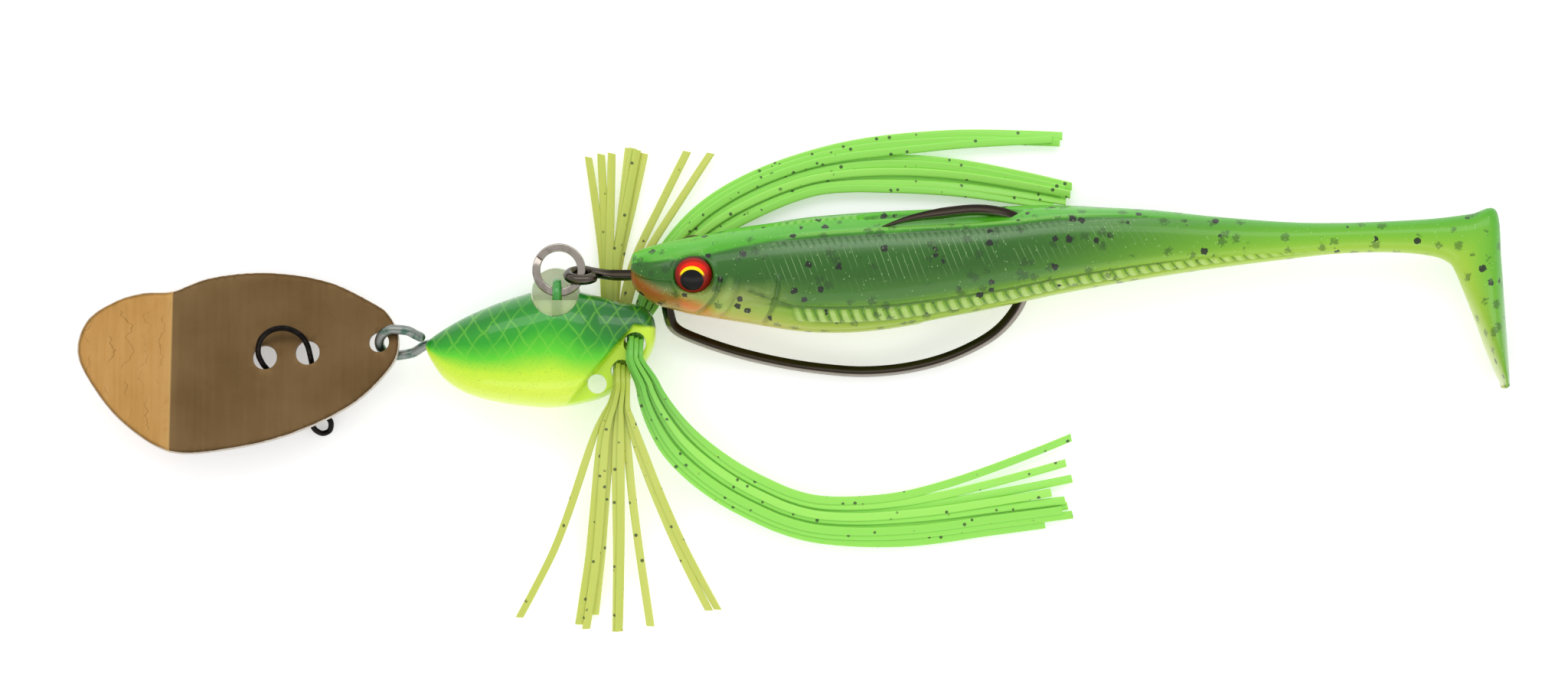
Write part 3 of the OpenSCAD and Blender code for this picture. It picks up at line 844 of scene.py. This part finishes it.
def hook_piece(settings):
    """Wire with an eye bent in the plane across the hook, then the shank, the offset and the wide gap,
    forged to four blunt faces that meet in soft ridges, and a ground taper over the last stretch."""
    a = np.radians(np.linspace(28, 332, 60))[::4]
    eye = HOOK_EYE_R * np.column_stack([np.cos(a), 0 * a, np.sin(a)])
    rest = [(*point, 0)[:3] for point in HOOK_ROUTE]
    path = evenly(curve_points(np.vstack([eye, HOOK_LEAD, rest]), 10), 520)
    from_end = np.linspace(travelled(path)[-1], 0, len(path))
    on_eye = step(10.4, 8.2, from_end[0] - from_end)[:, None]
    ground = np.clip(from_end / settings.point * MM, 0, 1) ** 0.8
    radius = settings.hook / 2 / MM * (0.1 + 0.9 * ground) * (1 - 0.11 * on_eye[:, 0])
    normal = unit(on_eye * np.array([0, 1.0, 0]) + (1 - on_eye) * np.array([0, 0, 1.0]))
    off = tube(path, radius, 24, normal) - path[:, None]
    side = unit(np.cross(directions(path), [0, 0, 1.0]))
    up = np.clip(off[..., 2] / radius[:, None], -1, 1)
    out = np.clip((off * side[:, None]).sum(-1) / radius[:, None], -1, 1)
    faced = (1 - 0.8 * (1 - 1 / (np.abs(up) + np.abs(out))))[..., None]
    rings = path[:, None] + off * (faced + (1 - faced) * on_eye[:, None])
    rings = turned(rings, settings.roll, (1, 0, 0)) + HOOK_EYE
    # Painted shade: the side of the wire facing +y before the roll, and most of the eye, take the dark
    # colour, standing for dark surroundings reflected there.
    dark = step(-0.12, 0.0, off[..., 1] / radius[:, None]) * (1 - on_eye) + 0.7 * on_eye
    mesh = lattice("hook", rings, dark=dark)
    finish = wire_finish("black nickel hook", settings.nickel, "#6f675e", 0.13, 0.25, "#37312a")
    return piece("worm_hook", mesh, "hook", finish, ["hook"])


# ---------------------------------------------------------------- soft bait

BAIT_STATIONS = [
    (-18.9, 11.9, 14.4, 1.2), (-18, 10.1, 15.1, 2.3), (-15.5, 8.5, 15.9, 3.4), (-11.5, 7.8, 16.7, 4.2),
    (-6, 7, 17.7, 4.9), (2, 5.9, 18.7, 5.3), (10, 6.2, 19.3, 5.4), (20, 8.1, 19.7, 5.1),
    (30, 10.2, 20.1, 4.3), (40, 11.9, 19.8, 3.4), (48, 13.1, 19, 2.6), (56, 14.1, 18.4, 2.1)]
TAIL_STATIONS = [
    ((62, 18.3), (62, 14.75), 1.9), ((68, 18.5), (68, 14.9), 1.8), ((73, 18.8), (72.5, 14.5), 1.9),
    ((77, 19.3), (74.6, 13.7), 2), ((80, 19.7), (75.4, 12.5), 2.1), ((80.6, 14), (76.2, 10.6), 2.6),
    ((80.9, 9.5), (77.5, 7.3), 3.6), ((81.2, 5), (78.8, 3.8), 4.9), ((81.4, 1.5), (80, 1), 5.4),
    ((81.45, 0.2), (80.5, -0.1), 4.6), ((81.5, -1.6), (80.9, -1.9), 3.4)]
BAIT_EYE = np.array([-11.6, 1.45, 3.3])  # in the bait's own section, which is centred on BAIT_EYE_Y
BAIT_EYE_Y = 12.25
CREASE = 108  # angle of the lower crease at x = 0; it turns down by CREASE_FALL a millimetre
CREASE_FALL = 0.3
BOX_PITCH = 1.36  # of the square ribs under it, which lean by BOX_LEAN a degree
BOX_LEAN = 0.04


def bait_relief(x, turn, across, y):
    """How far the skin stands out or in, in millimetres: turn is the angle from the back, 0 to 180."""
    back = band(x, -5, 2, 28, 44)
    d = 0.22 * (hump(turn, 29, 4.0) - hump(turn, 34.5, 2.2)) * back
    under = turn - CREASE - CREASE_FALL * x
    d -= 0.34 * hump(under, 0, 1.8) * band(x, -6, -1, 34, 54)
    box = step(-0.8, 0.2, np.cos(2 * math.pi * (x - under * BOX_LEAN) / BOX_PITCH))
    row = band(under, 1.5, 3, 14, 17)
    d += (0.26 * box * row * step(-1, 1, x) - 0.16 * hump(under, 19, 2.2) * step(0, 3, x)) * step(62, 50, x)
    d -= 0.3 * band(x, 14.2, 14.9, 15.5, 21) * step(145, 165, turn)
    tooth = np.abs(np.sin(math.pi * x / 0.9))
    d += 0.3 * tooth * hump(turn, 0, 7) * band(x, -4, -1, 11, 16)
    side = band(turn, 62, 72, 135, 152)
    below = side * step(13.0, 11.6, y)
    gill = np.hypot(x + 14.5, (y - 12.4) * 1.05)
    for radius, depth, width in ((6.0, 0.3, 0.28), (8.1, 0.16, 0.24), (12.6, 0.34, 0.3)):
        d -= depth * hump(gill, radius, width) * below * step(-15, -12, x)
    d += (0.1 * hump(gill, 11.6, 0.9) + 0.16 * hump(gill, 7.1, 0.7)) * below
    d -= 0.3 * hump(y - 10.6 + (x + 5.5) * 0.42, 0, 0.22) * band(x, -6, -5, -1, 0) * side
    d -= 0.16 * hump(y, 10.4 - (x + 18.5) * 0.35, 0.16) * step(-12.8, -14.5, x) * step(40, 60, turn)
    crown = hump(y - 15.0 - (x + 12.4) * 0.2, 0, 0.35) * band(x, -17.5, -16, -11, -9)
    d += 0.14 * crown * step(20, 30, turn)
    slot = 1.1 * hump(across, 0, 0.5) * step(60, 40, turn)
    lip = 0.12 * hump(np.abs(across), 1.05, 0.35) * step(40, 25, turn)
    return d + (lip - slot) * band(x, 6.5, 9.5, 23.5, 26.5)


def bait_piece(settings):
    """Oval sections between an upper and a lower line, rolled about their length, from nose to paddle;
    the relief then moves each point along its own radius."""
    rows = [[x, high, x, low, half] for x, low, high, half in BAIT_STATIONS]
    rows += [[*upper, *lower, half] for upper, lower, half in TAIL_STATIONS]
    s = curve_points(rows, 24)
    along = travelled((s[:, :2] + s[:, 2:4]) / 2)
    want = np.concatenate([np.linspace(0, 56, 500)[:-1], np.linspace(56, along[-1], 210)])
    s = resampled(s, along, want)
    upper, lower, half = s[:, :2], s[:, 2:4], s[:, 4]
    d = (upper - lower) / 2
    flat = np.linalg.norm(d, axis=1)
    centre = (upper + lower) / 2
    fade = np.clip((centre[:, 0] - 25) / 26.8, 0, 1)
    roll = np.radians(settings.roll) * (1 - fade)
    tall = np.sqrt(np.maximum(flat**2 - (half * np.sin(roll)) ** 2, 0.01)) / np.cos(roll)
    a = circle(138)
    power = (1 - 0.12 * band(centre[:, 0], -15, -4, 30, 50))[:, None]
    u = blunt(np.cos(a), power) * tall[:, None]
    v = blunt(np.sin(a), power) * half[:, None]
    turn = np.degrees(np.arctan2(np.abs(v) / half[:, None], u / tall[:, None]))
    x = np.broadcast_to(centre[:, :1], u.shape)
    relief = bait_relief(x, turn, v, centre[:, 1:] + u - 0.35 * v) * (1 - step(74, 79, x))
    clear = 0.3 * step(-12, -6, x) - 0.3 * step(-12, -14.5, x)
    relief = np.where(turn > 80, np.minimum(relief, clear), relief)
    size = np.hypot(u, v)
    u, v = u * (1 + relief / size), v * (1 + relief / size)
    near = np.hypot(x - BAIT_EYE[0], u - BAIT_EYE[1])
    socket = step(2.35, 2.1, near) * (np.abs(v) > 1)
    v = v + (np.clip(v, -BAIT_EYE[2], BAIT_EYE[2]) - v) * socket
    v = v + np.sign(v) * 0.16 * hump(near, 2.5, 0.28) * (np.abs(v) > 1)
    cos, sin = np.cos(roll)[:, None], np.sin(roll)[:, None]
    shift = u * cos - v * sin
    plan = centre[:, None] + (d / flat[:, None])[:, None] * shift[..., None]
    height = AXIS_Z + u * sin + v * cos
    sunk = np.maximum(0.6 - height, 0)
    rings = np.concatenate([plan, (height + sunk - 0.5 * np.tanh(sunk / 0.5))[..., None]], axis=-1)
    for k, scale in enumerate(np.linspace(0.15, 1, 5) * math.pi / 2):
        for end, last, way in ((k, 5, [-0.35, 0, 0]), (-1 - k, -6, [0.05, -0.35, 0])):
            core = rings[last].mean(0)
            rings[end] = core + (rings[last] - core) * math.sin(scale) + np.array(way) * math.cos(scale)
    mesh = lattice("bait", rings, turn=turn / 180, relief=relief)
    obj = piece("soft_bait", mesh, None, bait_finish(settings), ["shad_body", "shad_tail"])
    (TAIL[0] - 5) * MM
    TAIL[1] * MM
    TAIL[2] * MM
    (TAIL[0] + 5) * MM
    TAIL[1] * MM
    TAIL[2] * MM
    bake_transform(obj)
    return obj


def eye_piece(name, side, settings, finish):
    """A shallow dome on a short drum; its disc map runs from -1 to 1 across the face."""
    r, dome, drum = settings.eye / 2 / MM, 0.75, 0.55
    q = np.concatenate([np.linspace(0.02, 0.97, 26), [1.0, 1.0]])
    h = dome * (1 - q**2) ** 0.9
    h[-1] = -drum
    a = circle(72)
    q = r * q[:, None]
    grid = np.stack(np.broadcast_arrays(q * np.cos(a), q * np.sin(a), h[:, None]), axis=-1)
    grid = np.concatenate([grid, grid[-1:] * [0.5, 0.5, 1]])
    if side > 0:
        grid = grid[:, ::-1]
    local = (grid + [0, 0, BAIT_EYE[2] + 0.35]) * [1, 1, side]
    rings = turned(local + [0, BAIT_EYE[1], 0], settings.roll, (1, 0, 0))
    mesh = lattice(name, rings + [BAIT_EYE[0], BAIT_EYE_Y, AXIS_Z])
    disc = mesh.uv_layers.new(name="Disc")
    flat = np.vstack([local.reshape(-1, 3)[:, :2], np.zeros((2, 2))]) / r
    index = np.empty(len(mesh.loops), int)
    mesh.loops.foreach_get("vertex_index", index)
    disc.data.foreach_set("uv", flat[index].astype(np.float32).ravel())
    return piece(name + "_dome", mesh, "hook", finish, [name])


# ---------------------------------------------------------------- skirts

BEND_R = 1.9  # of the quarter turns at a hole
PITCH = 0.58  # between the strands of a bunch, which lie three by three
GRID_TURN = math.atan(1 / 3)
TIP_POWER = 1.3
# Each line is (x, y, z) and how far the bunch spreads across and up there
GREEN_FAR = [
    (31, 24, 0.9, 5.2, 0.35), (20, 25, 1, 4.6, 0.4), (10, 25, 1.1, 3.9, 0.45), (2, 24, 1.15, 3, 0.5),
    (-5, 21.4, 1.2, 2.9, 0.5), (-10.5, 18, 0.95, 2.6, 0.58), (-14.8, 13.5, 0.85, 2, 0.6),
    (-16.6, 9.8, 1.1, 1.5, 0.65), (-17.6, 7.8, 1.3, 1.1, 0.7)]
GREEN_NEAR = [
    (-17, 0.2, 9.5, 1.4, 0.7), (-15.9, -2.6, 8.3, 2, 0.6), (-13.4, -6.6, 6, 2.7, 0.58),
    (-9.3, -10.3, 4.2, 2.9, 0.5), (-4, -13.4, 2.9, 2.9, 0.5), (2.5, -15.6, 2, 3, 0.5),
    (12.3, -15.6, 1.2, 3.6, 0.4), (22, -13.6, 1, 4.8, 0.4), (31.2, -11.2, 0.9, 6.6, 0.4)]
CHARTREUSE_FAR = [
    (-16.8, 26.6, 1, 9.5, 0.35), (-18.4, 20, 1.1, 6, 0.4), (-19.8, 14, 1.2, 3, 0.5),
    (-20.5, 9.2, 1.1, 1.7, 0.58), (-20.75, 5.8, 1.1, 1.15, 0.58), (-20.45, 4.2, 1.2, 1, 0.62)]
CHARTREUSE_NEAR = [
    (-20.1, -2.5, 9.2, 1.4, 0.6), (-20.4, -5.7, 7.6, 3.2, 0.5), (-20.4, -12, 4.6, 6, 0.4),
    (-20.2, -20, 2.2, 10, 0.4), (-20.1, -27.9, 0.8, 15, 0.4)]
# Where each strand's tips end, in the order that the strands lie across the bunch
GREEN_NEAR_TIPS = [
    (28.6, -16.2), (31.8, -15.2), (30.6, -14.7), (31.2, -14.1), (30.9, -13.4), (29.3, -12.5),
    (31.7, -10.9), (31, -9.1), (31.6, -6.2)]
GREEN_FAR_TIPS = [
    (30.6, 28.2), (30.3, 27.6), (29.4, 28), (31.7, 22.6), (30.9, 22.1), (31.5, 21.6), (30.4, 21.2),
    (31, 20.7), (29.6, 20.2)]
CHARTREUSE_NEAR_TIPS = [
    (-31.6, -26.9), (-24.7, -27.7), (-23.9, -28.2), (-22.9, -26.6), (-20.6, -28.5), (-20.2, -28.5),
    (-16.7, -27.9), (-9.8, -26.1), (-8.8, -26)]
CHARTREUSE_FAR_TIPS = [
    (-23.8, 25.9), (-22.2, 26.2), (-21, 26.3), (-19.1, 26.9), (-18.6, 26.9), (-18.1, 26.7),
    (-17.3, 26.3), (-12.3, 26.5), (-9.6, 26.3)]


def skirt_route(far, at, near):
    """The bunch's line: up the far side, a quarter turn into its hole, through, and a quarter turn out."""
    a = np.radians([0, 30, 60, 90])
    r, low, high = BEND_R, AXIS_Z - PLATE / 2, AXIS_Z + PLATE / 2
    one = np.ones(4)
    into = np.column_stack([at[0] * one, at[1] + r * (1 - np.sin(a)), low - r * np.cos(a), one, one])
    out = np.column_stack([at[0] * one, at[1] - r * (1 - np.cos(a)), high + r * np.sin(a), one, one])
    return np.vstack([curve_points(far, 2), into, out, curve_points(near, 2)])


def strand_piece(name, node, route, cell, far_tip, near_tip, fork, finish, settings, seed):
    """One flat strip: its place in the bunch, a drift to its own two tips, and a slight curl and twist."""
    rng = np.random.default_rng(seed)
    u = PITCH * (cell[0] * math.cos(GRID_TURN) + cell[1] * math.sin(GRID_TURN))
    v = PITCH * (cell[1] * math.cos(GRID_TURN) - cell[0] * math.sin(GRID_TURN))
    t = directions(route[:, :3])
    flat = unit(np.column_stack([t[:, 0], t[:, 1] - 0.05, 0 * t[:, 0]]))
    across = np.column_stack([-flat[:, 1], flat[:, 0], 0 * t[:, 0]])
    up = np.cross(t, across)
    spine = route[:, :3] + u * route[:, 3:4] * across + v * route[:, 4:5] * up
    from_far = travelled(route[:, :3])
    back = np.clip(1 - from_far / fork, 0, 1)[:, None] ** TIP_POWER
    out = np.clip(1 - (from_far[-1] - from_far) / fork, 0, 1)[:, None] ** TIP_POWER
    spine[:, :2] += back * (np.array(far_tip) - spine[0, :2]) + out * (np.array(near_tip) - spine[-1, :2])
    line = evenly(curve_points(np.hstack([spine, across, up]), 6), settings.rings)
    path, side, lift = line[:, :3], unit(line[:, 3:6]), unit(line[:, 6:])
    away = np.abs(np.linspace(-1, 1, len(line)))
    twist = (rng.uniform(-0.5, 0.5) * away**2 * step(0.3, 1, away))[:, None]
    side, lift = side * np.cos(twist) + lift * np.sin(twist), lift * np.cos(twist) - side * np.sin(twist)
    wave = rng.uniform(0, 2 * math.pi) + np.linspace(0, rng.uniform(5, 9), len(line))
    path = path + side * (0.1 * np.sin(wave) * step(0.25, 0.7, away))[:, None]
    wide = 1 + settings.flare * step(0.1, 0.4, away)
    w, h = settings.width / 2 / MM, settings.thick / 2 / MM
    a = circle(12, 0.5)
    cu, cv = blunt(np.cos(a), 0.5) * w, blunt(np.sin(a), 0.5) * h
    rings = swept(path, wide[:, None] * cu, cv, side, lift)
    rings[..., 2] = np.maximum(rings[..., 2], 0.12)
    tone = rng.uniform(0.25, 0.8) + 0.25 * (np.abs(cu) / w > 0.9)
    mesh = lattice(name, rings, tone=tone, bundle=away[:, None])
    obj = piece(name, mesh, None, finish, [node], 60)
    x, y = route[len(route) // 2, 0], HOOK_EYE[1]
    x * MM
    (y - 6) * MM
    x * MM
    (y + 4) * MM
    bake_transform(obj)
    return obj


def skirt_pieces(colour, far, hole, near, far_tips, near_tips, fork, finish, settings):
    """Nine strands, each in its own cell of the bunch."""
    route = skirt_route(far, hole, near)
    for i in range(9):
        name = f"{colour}_strand_{i + 1}"
        cell = (i // 3 - 1, i % 3 - 1)
        strand_piece(name + "_strip", name, route, cell, far_tips[i], near_tips[i], fork,
                     finish, settings, 11 * i + len(colour))


# ---------------------------------------------------------------- settings

class BladeSettings(bpy.types.PropertyGroup):
    thickness: FloatProperty(name="Sheet", description="Thickness of the sheet",
                             default=0.7 * MM, unit="LENGTH")
    edge: FloatProperty(name="Edge", description="Width of the bevelled rim",
                        default=0.16 * MM, unit="LENGTH")
    bend: FloatProperty(name="Bend", description="Angle of the bent front, in degrees", default=25.0)
    snap: FloatProperty(name="Snap wire", description="Wire of the snap",
                        default=0.65 * MM, unit="LENGTH")
    plate: FloatVectorProperty(name="Plate", description="Colour of the flat plate", subtype="COLOR",
                               size=4, default=srgb("#6e5739"))
    # The front colour is a painted highlight laid over the bent front.
    front: FloatVectorProperty(name="Front", description="Colour of the bent front", subtype="COLOR",
                               size=4, default=srgb("#b98d51"))


class HeadSettings(bpy.types.PropertyGroup):
    scale_pitch: FloatProperty(name="Scales", description="Distance between scale lines",
                               default=1.75 * MM, unit="LENGTH")
    nose: FloatProperty(name="Nose wire", description="Wire of the nose eye",
                        default=1.1 * MM, unit="LENGTH")
    top: FloatProperty(name="Top wire", description="Wire of the top eye",
                       default=1.05 * MM, unit="LENGTH")
    back: FloatVectorProperty(name="Back", description="Paint of the back", subtype="COLOR",
                              size=4, default=srgb("#0a8414"))
    belly: FloatVectorProperty(name="Belly", description="Paint of the belly", subtype="COLOR",
                               size=4, default=srgb("#c8f02c"))


class HookSettings(bpy.types.PropertyGroup):
    hook: FloatProperty(name="Hook wire", description="Wire of the hook",
                        default=1.34 * MM, unit="LENGTH")
    point: FloatProperty(name="Point", description="Length of the ground point",
                         default=7.0 * MM, unit="LENGTH")
    roll: FloatProperty(name="Roll", description="How far the hook lies over, in degrees", default=21.0)
    ring_width: FloatProperty(name="Ring", description="Width of the ring's section", default=0.93 * MM,
                              unit="LENGTH")
    nickel: FloatVectorProperty(name="Hook", description="Plating of the hook", subtype="COLOR",
                                size=4, default=srgb("#8d857c"))
    steel: FloatVectorProperty(name="Steel", description="Colour of the ring's steel", subtype="COLOR",
                               size=4, default=srgb("#a9a198"))


class BaitSettings(bpy.types.PropertyGroup):
    roll: FloatProperty(name="Roll", description="How far the bait lies over, in degrees", default=21.0)
    eye: FloatProperty(name="Eye", description="Diameter of the stick-on eye",
                       default=4.3 * MM, unit="LENGTH")
    flake_size: FloatProperty(name="Flake", description="Width of a flake",
                              default=0.85 * MM, unit="LENGTH")
    flake_spacing: FloatProperty(name="Spacing", description="Distance between flakes", default=2.15 * MM,
                                 unit="LENGTH")
    rib_pitch: FloatProperty(name="Ribs", description="Distance between the ribs of the sides",
                             default=0.78 * MM, unit="LENGTH")
    back: FloatVectorProperty(name="Back", description="Colour of the back", subtype="COLOR",
                              size=4, default=srgb("#58ba22"))
    side: FloatVectorProperty(name="Side", description="Colour of the sides", subtype="COLOR",
                              size=4, default=srgb("#285f0e"))
    belly: FloatVectorProperty(name="Belly", description="Colour of the belly", subtype="COLOR",
                               size=4, default=srgb("#b4c83a"))
    chin: FloatVectorProperty(name="Chin", description="Colour of the chin", subtype="COLOR",
                              size=4, default=srgb("#dc5f2a"))
    flake: FloatVectorProperty(name="Flakes", description="Colour of the flakes", subtype="COLOR",
                               size=4, default=srgb("#0d120c"))
    foil: FloatVectorProperty(name="Eye", description="Foil of the eye", subtype="COLOR",
                              size=4, default=srgb("#f2240c"))


class SkirtSettings(bpy.types.PropertyGroup):
    width: FloatProperty(name="Width", description="Width of a strand at its hole", default=0.56 * MM,
                         unit="LENGTH")
    thick: FloatProperty(name="Thickness", description="Thickness of a strand",
                         default=0.32 * MM, unit="LENGTH")
    flare: FloatProperty(name="Flare", description="How much wider a strand is outside its hole",
                         default=0.7)
    rings: IntProperty(name="Rings", description="Rings along a strand", default=150)
    green: FloatVectorProperty(name="Green", description="Colour of the green strands", subtype="COLOR",
                               size=4, default=srgb("#aaf068"))
    chartreuse: FloatVectorProperty(name="Chartreuse", description="Colour of the chartreuse strands",
                                    subtype="COLOR", size=4, default=srgb("#d2de74"))


class StageSettings(bpy.types.PropertyGroup):
    distance: FloatProperty(name="Camera height", description="Height of the camera",
                            default=1.2, unit="LENGTH")
    width: FloatProperty(name="View", description="Width of the view", default=179.0 * MM, unit="LENGTH")
    target: FloatVectorProperty(name="Target", description="Point under the camera", size=2,
                                default=(-1.3 * MM, 4.85 * MM))


GROUPS = {"jig_blade": BladeSettings, "jig_head": HeadSettings, "jig_hook": HookSettings,
          "jig_bait": BaitSettings, "jig_skirt": SkirtSettings, "jig_stage": StageSettings}


# ---------------------------------------------------------------- operators

class JIG_OT_stage(bpy.types.Operator):
    """Make the floor, the soft lights and the camera"""
    bl_idname = "jig.stage"
    bl_label = "Stage"

    def execute(self, context):
        settings = context.scene.jig_stage
        half = 1.5
        mesh = bpy.data.meshes.new("floor")
        corners = [(-half, -half, 0), (half, -half, 0), (half, half, 0), (-half, half, 0)]
        mesh.from_pydata(corners, [], [(0, 1, 2, 3)])
        mesh.materials.append(floor_finish())
        linked("floor", mesh)
        self.light("key softbox", (0.0, 0.5, 0.62), (1.3, 0.3), 2.2)
        self.light("fill softbox", (0.05, -0.62, 0.5), (1.3, 0.25), 1.1)
        world = bpy.data.worlds.new("studio")
        world.use_nodes = True
        sky = world.node_tree.nodes["Background"]
        sky.inputs["Color"].default_value = (1, 1, 1, 1)
        sky.inputs["Strength"].default_value = 0.8
        context.scene.world = world
        camera = bpy.data.cameras.new("camera")
        camera.sensor_width = 36
        camera.lens = camera.sensor_width * (settings.distance - AXIS_Z * MM) / settings.width
        context.scene.camera = linked("camera", camera)
        context.scene.camera.location = (*settings.target, settings.distance)
        context.scene.view_settings.view_transform = "Standard"
        return {"FINISHED"}

    def light(self, name, place, size, power):
        data = bpy.data.lights.new(name, "AREA")
        data.shape = "RECTANGLE"
        data.size, data.size_y = size
        data.energy = power
        obj = linked(name, data)
        obj.location = place
        obj.rotation_euler = (-Vector(place)).to_track_quat("-Z", "Y").to_euler()


class JIG_OT_blade(bpy.types.Operator):
    """Make the bent blade and the snap"""
    bl_idname = "jig.blade"
    bl_label = "Blade and snap"

    def execute(self, context):
        settings = context.scene.jig_blade
        blade_piece(settings)
        snap_piece(settings)
        return {"FINISHED"}


class JIG_OT_head(bpy.types.Operator):
    """Make the head, its two eye wires and the bead"""
    bl_idname = "jig.head"
    bl_label = "Head"

    def execute(self, context):
        settings = context.scene.jig_head
        head_piece(settings)
        nose_eye_piece(settings)
        top_eye_piece(settings)
        bead_piece()
        return {"FINISHED"}


class JIG_OT_hook(bpy.types.Operator):
    """Make the split ring and the hook"""
    bl_idname = "jig.hook"
    bl_label = "Ring and hook"

    def execute(self, context):
        settings = context.scene.jig_hook
        ring_piece(settings)
        hook_piece(settings)
        return {"FINISHED"}


class JIG_OT_bait(bpy.types.Operator):
    """Make the soft bait and its two eyes"""
    bl_idname = "jig.bait"
    bl_label = "Soft bait"

    def execute(self, context):
        settings = context.scene.jig_bait
        bait_piece(settings)
        finish = eye_finish(settings)
        eye_piece("eye_left", 1, settings, finish)
        eye_piece("eye_right", -1, settings, finish)
        return {"FINISHED"}


class JIG_OT_skirts(bpy.types.Operator):
    """Make the strands of both skirts"""
    bl_idname = "jig.skirts"
    bl_label = "Skirts"

    def execute(self, context):
        settings = context.scene.jig_skirt
        # The last colour given to each silicone is its painted shade at the hole.
        green = strand_finish("green silicone", settings.green, "#84da4c", "#58b038")
        skirt_pieces("green", GREEN_FAR, GREEN_HOLE, GREEN_NEAR, GREEN_FAR_TIPS, GREEN_NEAR_TIPS, 20.0,
                     green, settings)
        chartreuse = strand_finish("chartreuse silicone", settings.chartreuse, "#bbca50", "#a5bd35")
        skirt_pieces("chartreuse", CHARTREUSE_FAR, CHARTREUSE_HOLE, CHARTREUSE_NEAR, CHARTREUSE_FAR_TIPS,
                     CHARTREUSE_NEAR_TIPS, 25.0, chartreuse, settings)
        return {"FINISHED"}


OPERATORS = [JIG_OT_stage, JIG_OT_blade, JIG_OT_head, JIG_OT_hook, JIG_OT_bait, JIG_OT_skirts]


class JIG_PT_panel(bpy.types.Panel):
    """Buttons and sizes of the jig"""
    bl_label = "Bladed Jig"
    bl_idname = "JIG_PT_panel"
    bl_space_type = "VIEW_3D"
    bl_region_type = "UI"
    bl_category = "Bladed Jig"

    def draw(self, context):
        for operator in OPERATORS:
            self.layout.operator(operator.bl_idname)
        for key, group in GROUPS.items():
            box = self.layout.box()
            for prop in group.__annotations__:
                box.prop(getattr(context.scene, key), prop)


CLASSES = [*GROUPS.values(), *OPERATORS, JIG_PT_panel]


def register():
    for cls in CLASSES:
        bpy.utils.register_class(cls)
    for key, group in GROUPS.items():
        setattr(bpy.types.Scene, key, PointerProperty(type=group))


def unregister():
    for key in GROUPS:
        delattr(bpy.types.Scene, key)
    for cls in reversed(CLASSES):
        bpy.utils.unregister_class(cls)


def main():
    register()
    bpy.ops.jig.stage()
    bpy.ops.jig.blade()
    bpy.ops.jig.head()
    bpy.ops.jig.hook()
    bpy.ops.jig.bait()
    bpy.ops.jig.skirts()


if __name__ == "__main__":
    main()
